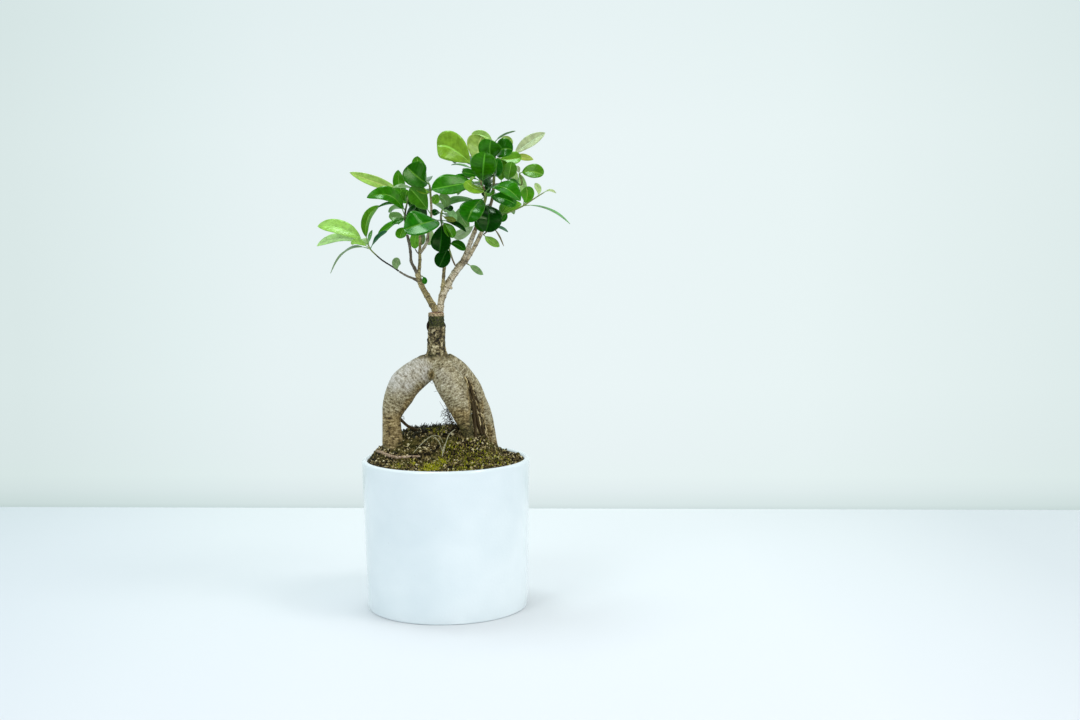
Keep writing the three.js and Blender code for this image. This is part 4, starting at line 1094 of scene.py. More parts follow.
def soil():
    """The body of compost in the pot, and a copy of its rough top on which loose things are strewn."""
    edge = POT_TOP_RADIUS - POT_WALL - SOIL_GAP
    foot = POT_FOOT_RADIUS - POT_WALL - SOIL_GAP
    radii = np.arange(edge, GRIT_STEP, -GRIT_STEP)
    angles = np.linspace(0, 2 * math.pi, GRIT_SECTORS, endpoint=False)
    dice = np.random.default_rng(7)
    vertices = []
    floor = POT_FLOOR + SOIL_GAP
    for r, z in ((foot - POT_INNER_ROUND, floor), (foot, POT_FLOOR + POT_INNER_ROUND + SOIL_GAP)):
        vertices.extend((r * math.cos(a), r * math.sin(a), z) for a in angles)
    below = len(vertices)
    for r in radii:
        x, y = r * np.cos(angles), r * np.sin(angles)
        grit = dice.normal(0, GRIT_HEIGHT, GRIT_SECTORS) * min(1, (edge - r) / GRIT_FADE)
        vertices.extend(zip(x, y, soil_height(x, y) + grit))
    rings = len(radii) + 2
    faces = []
    for ring in range(rings - 1):
        for i in range(GRIT_SECTORS):
            j = (i + 1) % GRIT_SECTORS
            a, b = ring * GRIT_SECTORS, (ring + 1) * GRIT_SECTORS
            faces.append((a + i, a + j, b + j, b + i))
    faces.append(tuple(reversed(range(GRIT_SECTORS))))
    faces.append(tuple(range((rings - 1) * GRIT_SECTORS, rings * GRIT_SECTORS)))
    bed = new_piece("compost_bed", vertices, faces=faces)
    bed.data.materials.append(COMPOST)
    keep_numbers(bed, "shade", dice.uniform(0.0, 0.8, len(vertices)))
    ground = new_piece("scatter_ground", vertices[below:], faces=[
        tuple(v - below for v in face) for face in faces if min(face) >= below])
    return bed, ground


def strewn(name, ground, share, tree, finish, slot, **sizes):
    """Small shapes strewn over the ground, by a share for each of its vertices."""
    piece = bpy.data.objects.new(name, ground.data.copy())
    bpy.context.scene.collection.objects.link(piece)
    keep_numbers(piece, "share", share)
    return finished(shaped(piece, tree, Finish=finish, **sizes), slot)


def soil_pieces():
    """The compost with loose crumbs, clods, a crest of matted fibres, and moss."""
    bed, ground = soil()
    finished(bed, "compost", "soil")
    place = places_of(ground)
    x, y = place[:, 0], place[:, 1]
    inside = np.clip((POT_TOP_RADIUS - POT_WALL - STREWN_GAP - np.hypot(x, y)) / STREWN_FADE, 0, 1)
    strewn("compost_crumbs", ground, inside, CRUMBS, COMPOST, "compost",
           Density=300000.0, Smallest=0.8 * MM, Largest=2.8 * MM, Seed=1)
    heap_x, heap_y, heap_reach, elsewhere = CLOD_HEAP
    clods = inside * np.clip(1 - np.hypot(x - heap_x, y - heap_y) / heap_reach, elsewhere, 1)
    strewn("compost_clods", ground, clods, CLODS, COMPOST, "compost",
           Density=60000.0, Smallest=1.8 * MM, Largest=4.2 * MM, Seed=2)
    crest_x, crest_y, reach_x, reach_y = CREST
    crest = np.exp(-((x - crest_x) / reach_x) ** 4 - ((y - crest_y) / reach_y) ** 2) * inside
    strewn("matted_fibres", ground, crest, SPIKES, HUMUS, "compost",
           Density=300000.0, Smallest=2.2 * MM, Largest=6 * MM, Seed=4)
    strewn("humus_clods", ground, crest, CLODS, HUMUS, "compost",
           Density=70000.0, Smallest=1.6 * MM, Largest=4 * MM, Seed=5)
    grown = sum(thick * np.exp(-(((x - px) / r) ** 2 + ((y - py) / r) ** 2) * MOSS_STEEPNESS)
                for px, py, r, thick in MOSS_PATCHES)
    strewn("moss_tufts", ground, inside * np.clip(grown, 0, 1), SPIKES, MOSS, "compost",
           Density=3000000.0, Smallest=1.2 * MM, Largest=2.8 * MM, Seed=3)
    bpy.data.objects.remove(ground)


def on_soil(rows):
    """Rows x, y, radius of a route that lies on the soil, sunk into it a little."""
    return np.array([[x, y, soil_height(x, y) + LYING_SHARE * r, r] for x, y, r in rows])


def lying_pieces():
    """The dead root on the soil and pale dry stalks."""
    root = flowing(on_soil(SURFACE_ROOT), step=0.8)
    finished(tubes("dead_root", [root], sides=10, finish=DEAD_ROOT), "dead_root", "surface_root")
    stalks = [flowing(seen_route(rows), step=0.8) for rows in STRAWS]
    finished(tubes("dry_straws", stalks, sides=6, finish=STRAW), "dead_root")


# Wood

def frames_along(route):
    """The direction of a route at each of its rows and two spokes across it."""
    along = np.gradient(route[:, :3], axis=0)
    along /= np.linalg.norm(along, axis=1)[:, None]
    side, sides = np.array([0.0, 1.0, 0.0]), []
    for direction in along:
        side = side - direction * side.dot(direction)
        side /= np.linalg.norm(side)
        sides.append(side)
    sides = np.array(sides)
    return along, sides, np.cross(along, sides)


def run_of(route):
    """The length of a route up to each of its rows."""
    return np.concatenate([[0], np.cumsum(np.linalg.norm(np.diff(route[:, :3], axis=0), axis=1))])


# How far apart the grains of two routes lie in the noise, how near a seam the wrinkles fade, and how many
# vertices are measured at once
GRAIN_APART = 400
SEAM_REACH = 3
PLACES_AT_ONCE = 20000


def grown_together(name, routes, sides, voxel, rounds):
    """Round pieces along dense routes, melted into one closed skin, with the grain of the nearest route."""
    piece = tubes(name, routes, sides, ROOT_BARK)
    remesh = piece.modifiers.new("melt", "REMESH")
    remesh.mode = "VOXEL"
    remesh.voxel_size = voxel * MM
    soften = piece.modifiers.new("soften", "SMOOTH")
    soften.factor = 0.5
    soften.iterations = rounds
    evaluated(piece)
    for layer in list(piece.data.attributes):
        if layer.name in ("thick", "spoke", "shade"):
            piece.data.attributes.remove(layer)
    place = places_of(piece)
    near = np.full(len(place), np.inf)
    second = np.full(len(place), np.inf)
    grain = np.zeros((len(place), 3))
    share = np.zeros((len(place), 2))
    for number, route in enumerate(routes):
        along, one, other = frames_along(route)
        length = run_of(route)
        for start in range(0, len(place), PLACES_AT_ONCE):
            part = slice(start, start + PLACES_AT_ONCE)
            gaps = np.linalg.norm(place[part, None] - route[None, :, :3], axis=2) - route[None, :, 3]
            best = gaps.argmin(1)
            gap = gaps[np.arange(len(best)), best]
            off = place[part] - route[best, :3]
            found = np.stack([(off * one[best]).sum(1), (off * other[best]).sum(1),
                              length[best] + (off * along[best]).sum(1) + GRAIN_APART * number], 1)
            closer = gap < near[part]
            second[part] = np.where(closer, near[part], np.minimum(second[part], gap))
            near[part] = np.where(closer, gap, near[part])
            grain[part][closer] = found[closer]
            share[part][closer] = np.stack([np.full(len(best), number), best / len(route)], 1)[closer]
    keep_numbers(piece, "grain", grain, "FLOAT_VECTOR")
    keep_numbers(piece, "seam", np.clip((second - near) / SEAM_REACH, 0, 1))
    return piece, place, share


def eased(value, low, high):
    """0 below low, 1 above high and a smooth rise between, for arrays."""
    share = np.clip((value - low) / (high - low), 0, 1)
    return share * share * (3 - 2 * share)


def spread_out(piece, values, rounds):
    """Numbers of the vertices, evened out along the edges for some rounds."""
    ends = np.empty(2 * len(piece.data.edges), int)
    piece.data.edges.foreach_get("vertices", ends)
    one, other = ends.reshape(-1, 2).T
    count = len(values)
    met = np.bincount(one, minlength=count) + np.bincount(other, minlength=count) + 1
    for _ in range(rounds):
        nearby = values + np.bincount(one, values[other], count) + np.bincount(other, values[one], count)
        values = nearby / met
    return values


# The heights between which the legs' skin gives way to the neck's bark, and above which the neck is cut
NECK_STARTS = (203, 216)
CUT_HEIGHT = 246.2
# How far the skin has to face up to be part of the cut, and how rough the cut is
CUT_FACING = 0.6
CUT_ROUGHNESS = 0.15
# The way that the lit side faces: skin turned towards it is left pale as painted light
LIT_SIDE = np.array([-0.6, -0.25, 0.76])
# How far the skin has to face away from the lit side before it turns brown as painted shade, how brown it
# turns, and over how many rounds that is evened out
FACING_FROM_LIGHT = 0.42
SHADED_SIDE_BROWN = 0.7
EVENED_ROUNDS = 12
# How brown the skin is, from pale 0 to dark 1, by height: the neck, then the left, middle and right leg
BROWN_HEIGHTS = (128, 140, 150, 160, 176, 190, 203)
BROWN_SHARES = np.array([
    (0.5, 0.5, 0.5, 0.5, 0.5, 0.5, 0.45), (0.9, 0.74, 0.68, 0.62, 0.4, 0.05, 0.12),
    (1.1, 1.05, 0.95, 0.72, 0.4, 0.34, 0.3), (0.75, 0.42, 0.36, 0.38, 0.42, 0.38, 0.33),
])
# Dark patches on the legs as seen from the front, mostly painted shade: in the fork, beside the neck, along
# the hollow between the middle and right legs and at the feet; x, height, reach along x, reach along height,
# how dark
SHADE_PATCHES = [
    (5, 213, 5, 3.5, 0.8), (-11, 196, 2.5, 4, 0.8), (21, 181, 3, 8, 0.6), (23.5, 164, 3, 9, 0.6),
    (24, 150, 3, 9, 0.5), (31, 166, 2, 9, 0.4), (36, 145, 2.5, 9, 0.5), (12, 147, 4, 6, 0.5),
    (-36.5, 135, 4, 6, 0.6), (-51, 133, 4, 5, 0.4), (-20, 184, 5, 6, 0.45), (42, 131, 4, 5, 0.5),
    (-44, 157, 9, 6, 0.15), (-30, 172, 4, 7, 0.3), (13, 161, 6, 7, 0.2), (-10, 208, 8, 5, 0.25),
]
# The hollow that fine roots fill, between the middle and right legs: height, its left and right edge
ROOT_HOLLOW = [
    (122, 22, 40), (146, 21, 35), (166, 21, 30), (173, 20.5, 27.5), (185, 18, 24), (195, 15.5, 18),
]
HOLLOW_FIBRES = 70
FIBRE_TOPS = (158, 194)
FIBRE_FOOT = 122
FIBRE_SHADES = [0.2, 0.5, 0.8, 1.1, 1.3]
# How deep the hollow lies at its left edge, and how much deeper at its right one
HOLLOW_DEPTH = -13
HOLLOW_SLANT = 17
# Stray hairs: where the first and the last one start, x, y, z, where they tend to, how many, how long
HAIRS = [
    ((2, -8, 167), (10, -14, 149), (-0.8, -0.3, -0.4), 60, 10),
    ((-10.5, -2, 192), (-8, -4, 189), (0, -0.2, -1), 3, 15),
    ((-38, -4, 163), (-35, -4, 158), (0.6, -0.2, 0.3), 5, 4),
    ((-45, -12, 128), (-37, -14, 132), (0, -0.5, -0.7), 8, 6),
    ((4, -12, 152), (12, -16, 146), (-0.2, -0.6, -0.8), 20, 6),
    ((14, -20, 138), (24, -20, 136), (0, -0.6, -0.7), 18, 6),
]
# The number of steps of a hair, its radius and how much thinner it ends, how far it strays from its way at
# the start and at each step, and how dark the hairs are at most
HAIR_STEPS = (6, 11)
HAIR_RADIUS = 0.2
HAIR_TAPER = 0.1
HAIR_SPREAD = 0.3
HAIR_WANDER = 0.35
HAIR_SHADE = 0.35
# Loose flaps of bark at the sides of the neck: x, y, z, radius
BARK_FLAPS = [
    [(-12.5, -1, 239.5, 0.6), (-13.2, -1.5, 237, 1.1), (-13.4, -1.5, 234, 1), (-12.8, -1, 231, 0.5)],
    [(-13, -2, 226, 0.4), (-13.6, -2.5, 224, 0.7), (-13.2, -2, 221.5, 0.5)],
    [(0, -1, 238, 0.5), (0.8, -1.5, 235.5, 0.8), (0.4, -1, 232.5, 0.5)],
]
ROOT_SHADE = 0.3
FLAP_SHADE = 0.1


def hollow_fibres(dice):
    """Fine roots that wander down the hollow between the middle and right legs."""
    heights, left, right = np.array(ROOT_HOLLOW, float).T
    routes, shades = [], []
    for _ in range(HOLLOW_FIBRES):
        z = np.arange(dice.uniform(*FIBRE_TOPS), FIBRE_FOOT, -2.0)
        share = dice.uniform(0.02, 0.98) + 0.2 * np.sin(z * dice.uniform(0.06, 0.24) + dice.uniform(0, 6))
        share = np.clip(share, 0, 1)
        x = np.interp(z, heights, left) * (1 - share) + np.interp(z, heights, right) * share
        x += dice.uniform(0.5, 1.2) * np.sin(z * dice.uniform(0.25, 0.7) + dice.uniform(0, 6))
        y = HOLLOW_DEPTH + HOLLOW_SLANT * share + dice.uniform(-2, 4) + np.sin(z * 0.2 + dice.uniform(0, 6))
        thick = dice.uniform(0.22, 0.62) * np.linspace(1, 0.6, len(z))
        routes.append(seen_route(np.stack([x, y, z, thick], 1)))
        shade = dice.choice(FIBRE_SHADES) + 0.3 * np.sin(z * dice.uniform(0.5, 1.2) + dice.uniform(0, 6))
        shades.append(np.clip(shade, 0, 1.2))
    finished(tubes("hollow_fibres", routes, sides=6, finish=FIBRE, shades=shades), "root_bark")


def root_hairs(dice):
    """Stray crooked hairs in tufts on the legs."""
    routes, shades = [], []
    for first, last, way, count, length in HAIRS:
        for _ in range(count):
            place = np.array(first) + dice.uniform(0, 1) * (np.array(last, float) - first)
            heading = np.array(way) + dice.normal(0, HAIR_SPREAD, 3)
            steps = dice.integers(*HAIR_STEPS)
            rows = []
            for step in range(steps):
                rows.append((*place, HAIR_RADIUS - HAIR_TAPER * step / steps))
                heading = heading / np.linalg.norm(heading) + dice.normal(0, HAIR_WANDER, 3)
                place = place + heading * length / steps
            routes.append(seen_route(rows))
            shades.append(np.full(steps, dice.uniform(0, HAIR_SHADE)))
    finished(tubes("root_hairs", routes, sides=4, finish=FIBRE, shades=shades), "root_bark")


def hanging_roots():
    """The thin roots that hang from the legs, and loose flaps of bark at the neck."""
    roots = [flowing(seen_route(rows), step=1.0) for rows in [*HANGING_ROOTS, SIDE_ROOT]]
    flaps = [flowing(seen_route(rows), step=0.8) for rows in BARK_FLAPS]
    shades = [np.full(len(route), ROOT_SHADE) for route in roots]
    shades.extend(np.full(len(route), FLAP_SHADE) for route in flaps)
    finished(tubes("hanging_roots", roots + flaps, sides=10, finish=FIBRE, shades=shades), "root_bark")


def brown_of(piece, place, leg):
    """How brown each vertex's skin is: by leg and height, more on the side turned from the light as painted
    shade, and with dark patches that are mostly painted shade.
    """
    height = place[:, 2]
    brown = np.choose(leg.astype(int), [np.interp(height, BROWN_HEIGHTS, row) for row in BROWN_SHARES])
    # Skin turned from the lit side is browned as painted shade
    turned_from_light = FACING_FROM_LIGHT - (0.5 + 0.5 * normals_of(piece) @ LIT_SIDE)
    brown += SHADED_SIDE_BROWN * np.clip(turned_from_light, 0, 1)
    brown = spread_out(piece, brown, EVENED_ROUNDS)
    # Dark patches, mostly painted shade in the fork, beside the neck and along the hollow between the legs
    for x, z, reach_x, reach_z, dark in SHADE_PATCHES:
        brown += dark * np.exp(-((place[:, 0] - x) / reach_x) ** 2 - ((height - z) / reach_z) ** 2)
    return brown


def rootstock():
    """The swollen root legs and the neck, melted into one skin, and the thin roots that hang from them."""
    routes = [flowing(seen_route(rows), step=1.2) for rows in (NECK, LEFT_LEG, MIDDLE_LEG, RIGHT_LEG)]
    piece, place, share = grown_together("root_wood", routes, sides=48, voxel=0.6, rounds=6)
    height = place[:, 2]
    neck = eased(height, *NECK_STARTS)
    cut = (height > CUT_HEIGHT) & (normals_of(piece)[:, 2] > CUT_FACING)
    keep_numbers(piece, "rough", np.where(cut, CUT_ROUGHNESS, neck))
    brown = brown_of(piece, place, share[:, 0])
    keep_numbers(piece, "skin", np.stack([neck + cut, brown, np.zeros(len(brown))], 1), "FLOAT_VECTOR")
    shaped(piece, BARK, Wrinkles=0.6 * MM, Lumps=1.5 * MM, Flakes=2.6 * MM, Finish=ROOT_BARK)
    finished(piece, "root_bark", "rootstock")
    hanging_roots()
    dice = np.random.default_rng(11)
    hollow_fibres(dice)
    root_hairs(dice)


# The way that the shaded side of the limbs faces
UNDER_SIDE = np.array([0.5, 0.1, -0.86])
# Places in LIMBS of the twigs with dark bark, the one with dim bark, and the limbs with olive bark
DARK_TWIGS = (1, 4, 5)
DIM_TWIG = 3
OLIVE_LIMBS = (0, 2, 9)
# How dark the dark and the dim bark are, and how rough all of it is
DARK_BARK = 0.75
DIM_BARK = 0.3
LIMB_ROUGHNESS = 0.12
# Swellings along a limb: how far from its start the first is, how far apart they are, their size and width
FIRST_JOINT = (4, 8)
JOINTS_APART = (6, 10)
JOINT_SWELLING = 0.16
JOINT_WIDTH = 0.8


def jointed(route, dice):
    """The route of a limb, thicker at each of its joints."""
    length = run_of(route)
    at = dice.uniform(*FIRST_JOINT)
    while at < length[-1]:
        route[:, 3] *= 1 + JOINT_SWELLING * np.exp(-((length - at) / JOINT_WIDTH) ** 2)
        at += dice.uniform(*JOINTS_APART)
    return route


def scions():
    """The grafted limbs and twigs, melted into one skin, with a swelling at each joint."""
    dice = random.Random(5)
    routes = [jointed(flowing(seen_route(rows), step=0.5), dice) for rows in LIMBS]
    piece, place, share = grown_together("limb_wood", routes, sides=20, voxel=0.33, rounds=3)
    limb = share[:, 0]
    keep_numbers(piece, "rough", np.full(len(place), LIMB_ROUGHNESS))
    under = np.clip(normals_of(piece) @ UNDER_SIDE, 0, 1) ** 1.5
    dark = np.isin(limb, DARK_TWIGS) * DARK_BARK + (limb == DIM_TWIG) * DIM_BARK
    keep_numbers(piece, "shade", np.maximum(dark, DARK_BARK * under))
    keep_numbers(piece, "olive", np.isin(limb, OLIVE_LIMBS) * 1.0)
    shaped(piece, BARK, Wrinkles=0.3 * MM, Lumps=0.5 * MM, Flakes=2 * MM, Finish=TWIG_BARK)
    finished(piece, "twig_bark", "scions")


# Leaves

BLADE_ROWS = 20
BLADE_COLUMNS = np.array([-1, -0.8, -0.55, -0.3, -0.08, 0, 0.08, 0.3, 0.55, 0.8, 1])
# Half the thickness of a blade, how much thinner its edge is, and the groove over its midrib
BLADE_THICK = 0.24
EDGE_THINNING = 0.16
MIDRIB_GROOVE = 0.16
LEAST_HALF_WIDTH = 0.3
# The share of a blade over which its fold sets in, how the fold steepens outwards, and the waves of its edge
FOLD_START = 0.25
FOLD_POWER = 1.25
EDGE_WAVES = 9
RIB_ROWS = 14
RIB_SIDES = 6
RIB_END = 0.94
# Shares of the petiole's radius: a stalk's foot, how much thinner it is at the blade, and then at its end
STALK_FOOT = 0.95
STALK_TAPER = 0.35
RIB_TAPER = 0.75
# How far the midrib's centre lies under the blade, and the share of the blade over which it gets there
RIB_SUNK = 0.25
RIB_SINKS = 0.125
# The places in a mesh's list of finishes
SKIN, STEM = 0, 1


def blade_shape(share, plumpness):
    """Width of a blade at a share of its length: a broad one ends round, a slender one in a sharp tip."""
    tip_power = np.interp(
        plumpness, (SLENDER_PLUMPNESS, BROAD_PLUMPNESS), (SLENDER_TIP_POWER, BROAD_TIP_POWER))

    def shape(s):
        return s ** BLADE_BASE_POWER * (1 - s) ** tip_power
    return shape(share) / shape(BLADE_BASE_POWER / (BLADE_BASE_POWER + tip_power))


class Foliage:
    """The growing mesh of one shoot: its vertices, faces and what each vertex knows."""

    def __init__(self):
        self.vertices = []
        self.faces = []
        self.finishes = []
        self.tones = []
        self.veins = []
        self.blades = []
        self.shades = []

    def add(self, rings, colours, marks, finish, shade=0.0):
        """Adds rings of equally many points, closed in themselves and at both ends."""
        start, count = len(self.vertices), len(rings[0])
        amount = len(rings) * count
        for ring, ring_marks in zip(rings, marks):
            self.vertices.extend(ring)
            self.blades.extend(ring_marks)
        self.tones.extend([tone(*colours[0])] * amount)
        self.veins.extend([tone(*colours[1])] * amount)
        self.shades.extend([shade] * amount if np.isscalar(shade) else np.repeat(shade, count))
        for row in range(len(rings) - 1):
            low, high = start + row * count, start + (row + 1) * count
            for i in range(count):
                j = (i + 1) % count
                self.faces.append((low + i, low + j, high + j, high + i))
        last = start + amount - count
        self.faces.append(tuple(start + i for i in reversed(range(count))))
        self.faces.append(tuple(last + i for i in range(count)))
        self.finishes.extend([finish] * ((len(rings) - 1) * count + 2))

    def piece(self, name):
        """The finished mesh object."""
        made = new_piece(name, self.vertices, faces=self.faces)
        keep_numbers(made, "leaf_tone", self.tones, "FLOAT_COLOR")
        keep_numbers(made, "vein_tone", self.veins, "FLOAT_COLOR")
        keep_numbers(made, "blade", self.blades, "FLOAT_VECTOR")
        keep_numbers(made, "shade", self.shades)
        made.data.materials.append(LEAF_SKIN)
        made.data.materials.append(GREEN_STEM)
        made.data.polygons.foreach_set("material_index", self.finishes)
        made.data.polygons.foreach_set("use_smooth", [True] * len(self.faces))
        return made


def round_rings(route, sides):
    """Rings round a dense route of x, y, z, radius."""
    along, one, other = frames_along(route)
    angles = np.linspace(0, 2 * math.pi, sides, endpoint=False)
    turn, rise = np.cos(angles)[:, None], np.sin(angles)[:, None]
    return [route[i, :3] + route[i, 3] * (turn * one[i] + rise * other[i]) for i in range(len(route))]


def midrib_of(base, middle, tip, face):
    """The line of a midrib as a function of a share: its place, the way up and the way to the right."""
    bend = 2 * middle - 0.5 * base - 0.5 * tip

    def midrib(share):
        centre = (1 - share) ** 2 * base + 2 * share * (1 - share) * bend + share ** 2 * tip
        along = 2 * (1 - share) * (bend - base) + 2 * share * (tip - bend)
        along /= np.linalg.norm(along)
        up = face - along * face.dot(along)
        up /= np.linalg.norm(up)
        return centre, up, np.cross(up, along)
    return midrib


def blade_rings(midrib, half_width, plumpness, phase, ripple):
    """Rings round a thin curved blade, and what each of their points knows: along, across and under."""
    rings, marks = [], []
    reach = np.abs(BLADE_COLUMNS)
    for x in np.linspace(0, 1, BLADE_ROWS):
        blade = 0.5 - 0.5 * math.cos(math.pi * x)
        centre, up, right = midrib(PETIOLE_SHARE + (1 - PETIOLE_SHARE) * blade)
        half = max(LEAST_HALF_WIDTH, half_width * blade_shape(blade, plumpness))
        rise = 0.5 * half * BLADE_FOLD * min(1, blade / FOLD_START)
        wave = ripple * half_width * math.sin(EDGE_WAVES * blade + phase) * math.sin(math.pi * blade)
        height = rise * (2 * reach ** FOLD_POWER - 1) + wave * reach ** 2 * np.sign(BLADE_COLUMNS + 0.01)
        thick = BLADE_THICK - EDGE_THINNING * reach ** 3
        groove = MIDRIB_GROOVE * (reach < 0.05) * min(1, half / 2)
        across = centre + half * BLADE_COLUMNS[:, None] * right
        upper = across + (height + thick - groove)[:, None] * up
        lower = across + (height - thick)[:, None] * up
        rings.append(np.vstack([upper[::-1], lower]))
        marks.append([(blade, c, 0) for c in BLADE_COLUMNS[::-1]] + [(blade, c, 1) for c in BLADE_COLUMNS])
    return rings, marks


def rib_route(midrib, half_width, plumpness):
    """The leaf's stalk, which runs on under the blade as its midrib."""
    rib = []
    for share in np.linspace(0, RIB_END, RIB_ROWS):
        centre, up, _ = midrib(share)
        blade = max(0, (share - PETIOLE_SHARE) / (1 - PETIOLE_SHARE))
        rise = 0.5 * half_width * blade_shape(blade, plumpness) * BLADE_FOLD * min(1, blade / FOLD_START)
        stalk = STALK_FOOT - STALK_TAPER * min(1, share / PETIOLE_SHARE)
        radius = PETIOLE_RADIUS * stalk * (1 - RIB_TAPER * blade)
        rib.append([*(centre - up * (rise + RIB_SUNK * min(1, blade / RIB_SINKS))), radius])
    return np.array(rib)


def add_leaf(foliage, stem, row, dice):
    """A leaf on the line that its row gives: a stalk that runs on as the midrib, and a thin curved blade."""
    number, mx, my, mz, tx, ty, tz, half_width, fx, fy, fz, word = row
    base, middle, tip = seen(*stem[number][:3]), seen(mx, my, mz), seen(tx, ty, tz)
    plumpness = half_width / (np.linalg.norm(middle - base) + np.linalg.norm(tip - middle))
    face = np.array([fx, fy, fz], float)
    face /= np.linalg.norm(face)
    colours = [tuple(min(255, c * dice.uniform(0.92, 1.08)) for c in part) for part in TONES[word]]
    phase, ripple = dice.uniform(0, 6.28), dice.uniform(0.02, 0.06)
    midrib = midrib_of(base, middle, tip, face)
    rings, marks = blade_rings(midrib, half_width, plumpness, phase, ripple)
    foliage.add(rings, colours, marks, SKIN)
    rib = round_rings(rib_route(midrib, half_width, plumpness), RIB_SIDES)
    foliage.add(rib, (colours[1], colours[1]), [[(0, 0.5, 1)] * RIB_SIDES] * RIB_ROWS, SKIN)


def drawn_out(rows, row, *depths):
    """A row of a shoot with the depths at the given places of the row drawn out from its start."""
    start = rows["stem"][0][1]
    return [rows["depth"] + CROWN_DEPTH * (value - start) if i in depths else value
            for i, value in enumerate(row)]


STEM_SIDES = 10
# The tone of the stems' bark, and how far it reaches up a young stem and any other
PLAIN_BARK = (122, 102, 74)
YOUNG_BARK_REACH = 0.3
BARK_REACH = 0.9
# Stems that differ: the tone of their bark, and how far it reaches
STEM_BARK = {
    "outer_left_shoot": ((36, 32, 18), 1.6),
    "upper_left_spray": ((58, 48, 30), 1.0),
    "centre_twig_spray": ((186, 164, 130), 1.4),
    "middle_spray": ((120, 108, 62), 1.2),
}


def shoot(name, rows):
    """A leafy shoot: its stem, woody at its foot and green at its end, and its leaves."""
    dice = random.Random(name)
    foliage = Foliage()
    stem_rows = [drawn_out(rows, row, 1) for row in rows["stem"]]
    stem = flowing(seen_route(stem_rows), step=1.2)
    plain_reach = YOUNG_BARK_REACH if rows["slot"] == "young_leaf" else BARK_REACH
    bark, reach = STEM_BARK.get(name, (PLAIN_BARK, plain_reach))
    woody = np.clip(np.linspace(reach, 0, len(stem)), 0, 1)
    marks = [[(0, 0.5, 0)] * STEM_SIDES] * len(stem)
    foliage.add(round_rings(stem, STEM_SIDES), (bark, bark), marks, STEM, woody)
    for row in rows["leaves"]:
        add_leaf(foliage, stem_rows, drawn_out(rows, row, 2, 5), dice)
    return finished(foliage.piece(name + "_leaves"), rows["slot"], name)


# The stage, the lights and the camera

# The table top: how far it reaches, where its back edge is at x = 0, and how that edge slants
TABLE_REACH = 3000
TABLE_BACK = 404.9
TABLE_SLANT = 0.1229
# The wall behind it: how far it reaches, where it stands, its lower and upper edge, and its painted glow, by
# which it shines and lights the scene though it is no lamp
WALL_REACH = 6000
WALL_BACK = 1600
WALL_FOOT, WALL_TOP = -1500, 4000
WALL_PAINTED_GLOW = 0.97
# Bands of tone between two places along an axis, as shares of the way and colours out of 255. They are
# painted
# light and shade: the wall darkens at its foot as a painted shadow of the table's edge, and wall and table
# darken towards their sides, the table also towards the front, as painted falloff of the light
WALL_UP = (-244, 700, [
    (0.0, (205, 220, 220)), (0.012, (217, 231, 231)), (0.04, (226, 238, 239)), (0.07, (231, 243, 243)),
    (0.12, (232, 243, 244)), (0.25, (234, 245, 246)), (0.75, (234, 245, 246)), (1.0, (230, 242, 243)),
])
WALL_ALONG = (-815, 1170, [
    (0.0, (237, 241, 239)), (0.16, (246, 249, 248)), (0.25, (251, 252, 252)), (0.5, (255, 255, 255)),
    (0.58, (255, 255, 255)), (0.75, (253, 254, 253)), (1.0, (242, 245, 243)),
])
TABLE_DEEP = (-900, 400, [(0.0, (217, 217, 224)), (1.0, (226, 230, 231))])
TABLE_ALONG = (-560, 560, [
    (0.0, (232, 236, 238)), (0.16, (242, 244, 246)), (0.3, (251, 252, 252)), (0.42, (255, 255, 255)),
    (0.75, (255, 255, 255)), (0.86, (249, 250, 250)), (1.0, (238, 240, 241)),
])

# How strong the light from all round is, and how strong where it is mirrored
SKY = 0.86
MIRRORED_SKY = 0.1
# Soft lamps: place and target in metres, width, height, power, colour
LAMPS = [
    ("sky_light", (-0.17, 0.2, 1.6), (0, 0, 0.3), 0.4, 0.36, 6.5, (0.86, 0.96, 1.0)),
    ("window_light", (-0.9, -1.1, 1.4), (0, 0, 0.2), 0.6, 0.6, 6, (0.92, 0.98, 0.98)),
    ("right_light", (1.0, -0.52, 1.6), (0, 0, 0.2), 0.5, 0.5, 6.5, (1.0, 0.97, 0.93)),
    ("fill_light", (1.2, -1.3, 0.7), (0, 0, 0.2), 1.0, 0.9, 4.5, (1.0, 0.95, 0.9)),
]
# The camera stands at the eye and is turned by these degrees
CAMERA_YAW = 3.662
CAMERA_PITCH = 5.835
CAMERA_ROLL = -0.510
LENS_LENGTH = 50
SENSOR_WIDTH = 36


def stage_plane(name, corners, finish):
    """A flat four-cornered stage piece."""
    piece = new_piece(name, corners, faces=[(0, 1, 2, 3)])
    piece.data.materials.append(finish)


def stage_finish(name, bands, glow=0.0):
    """A matt studio surface; each band is an axis and its places and tones, and the bands multiply into
    painted light and shade. With a glow the surface shines by its own painted light.
    """
    made, tree, shader, place = material(name, Roughness=0.9)
    parts = node(tree, "ShaderNodeSeparateXYZ", Vector=place)
    colour = tone(255, 255, 255)
    for axis, (low, high, stops) in bands:
        share = node(tree, "ShaderNodeMapRange", Value=parts.outputs[axis],
                     From_Min=low * MM, From_Max=high * MM)
        band = ramp(tree, share.outputs[0], stops)
        colour = blended(tree, 1.0, band, colour, "MULTIPLY")
    # A glowing surface shows its bands as painted light of its own, though it is no lamp
    if glow:
        tree.links.new(colour, shader.inputs["Emission Color"])
        shader.inputs["Emission Strength"].default_value = glow
        shader.inputs["Base Color"].default_value = (0.03, 0.03, 0.03, 1)
        shader.inputs["Specular IOR Level"].default_value = 0
    else:
        tree.links.new(colour, shader.inputs["Base Color"])
    return made


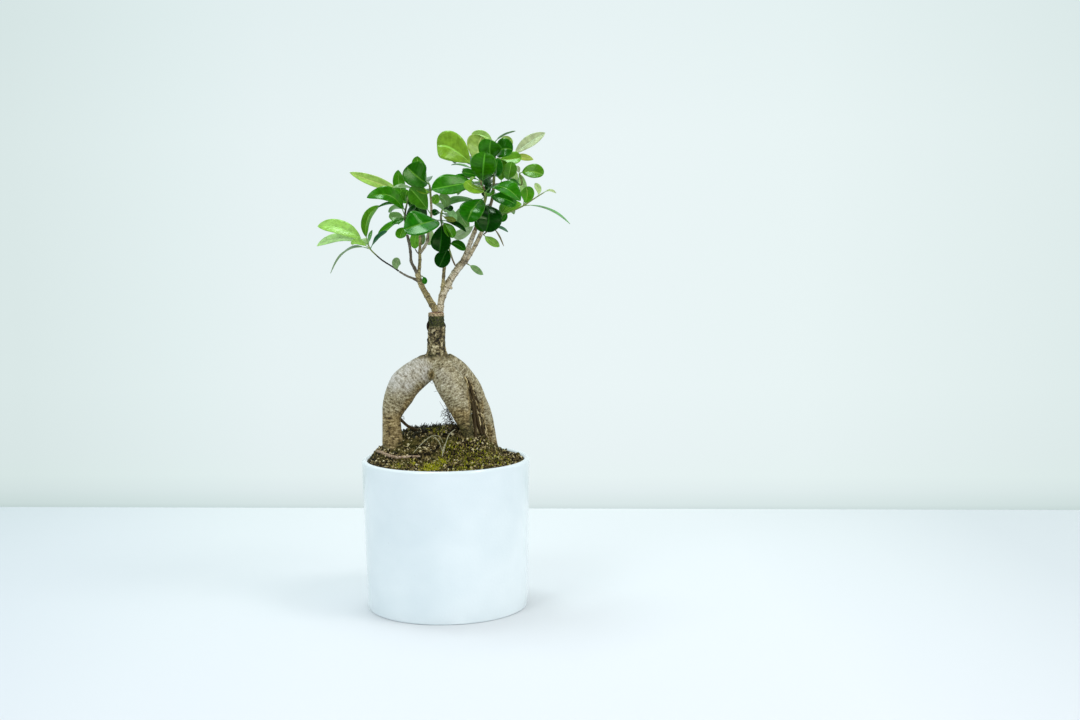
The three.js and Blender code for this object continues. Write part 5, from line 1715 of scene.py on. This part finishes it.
def softbox(name, place, target, width, height, power, colour):
    """A large soft lamp at a place that faces a target, both in metres."""
    lamp = bpy.data.lights.new(name, "AREA")
    lamp.shape = "RECTANGLE"
    lamp.size = width
    lamp.size_y = height
    lamp.energy = power
    lamp.color = colour
    holder = bpy.data.objects.new(name, lamp)
    bpy.context.scene.collection.objects.link(holder)
    holder.location = place
    holder.rotation_euler = (Vector(target) - Vector(place)).to_track_quat("-Z", "Y").to_euler()


def table_and_wall():
    """The pale table top and the wall behind it, which follows the slant of the table's back edge."""
    table = stage_finish("table_white", [(1, TABLE_DEEP), (0, TABLE_ALONG)])
    wall = stage_finish("wall_white", [(2, WALL_UP), (0, WALL_ALONG)], WALL_PAINTED_GLOW)
    stage_plane("table_top", [(-TABLE_REACH, -TABLE_REACH, 0), (TABLE_REACH, -TABLE_REACH, 0),
                              (TABLE_REACH, TABLE_BACK - TABLE_SLANT * TABLE_REACH, 0),
                              (-TABLE_REACH, TABLE_BACK + TABLE_SLANT * TABLE_REACH, 0)], table)
    left, right = [(side * WALL_REACH, WALL_BACK - side * TABLE_SLANT * WALL_REACH) for side in (-1, 1)]
    stage_plane("wall", [(*left, WALL_FOOT), (*right, WALL_FOOT),
                         (*right, WALL_TOP), (*left, WALL_TOP)], wall)


def daylight():
    """Cool light from all round, which is dimmer in reflections, and four soft lamps."""
    world = bpy.data.worlds.new("daylight")
    world.use_nodes = True
    tree = world.node_tree
    background = tree.nodes["Background"]
    background.inputs["Color"].default_value = tone(238, 247, 251)
    mirrored = node(tree, "ShaderNodeLightPath").outputs["Is Glossy Ray"]
    strength = sums(tree, "MULTIPLY_ADD", mirrored, MIRRORED_SKY - SKY, SKY)
    tree.links.new(strength, background.inputs["Strength"])
    bpy.context.scene.world = world
    for lamp in LAMPS:
        softbox(*lamp)


def photo_camera():
    """The camera at the photo's viewing angle."""
    yaw, pitch, roll = (math.radians(angle) for angle in (CAMERA_YAW, CAMERA_PITCH, CAMERA_ROLL))
    forward = Vector((math.sin(yaw) * math.cos(pitch), math.cos(yaw) * math.cos(pitch), -math.sin(pitch)))
    level = Vector((math.cos(yaw), -math.sin(yaw), 0))
    upright = level.cross(forward)
    right = level * math.cos(roll) + upright * math.sin(roll)
    up = upright * math.cos(roll) - level * math.sin(roll)
    lens = bpy.data.cameras.new("photo_camera")
    lens.lens = LENS_LENGTH
    lens.sensor_width = SENSOR_WIDTH
    lens.clip_start = 0.01
    lens.clip_end = 50
    camera = bpy.data.objects.new("photo_camera", lens)
    bpy.context.scene.collection.objects.link(camera)
    turn = Matrix((right, up, -forward)).transposed().to_4x4()
    camera.matrix_world = Matrix.Translation((0, -EYE_DISTANCE * MM, EYE_HEIGHT * MM)) @ turn
    bpy.context.scene.camera = camera


def studio():
    """Everything round the object."""
    table_and_wall()
    daylight()
    bpy.context.scene.view_settings.view_transform = "Standard"
    photo_camera()


studio()
pot()
soil_pieces()
lying_pieces()
rootstock()
scions()
for shoot_name, shoot_rows in SHOOTS.items():
    shoot(shoot_name, shoot_rows)
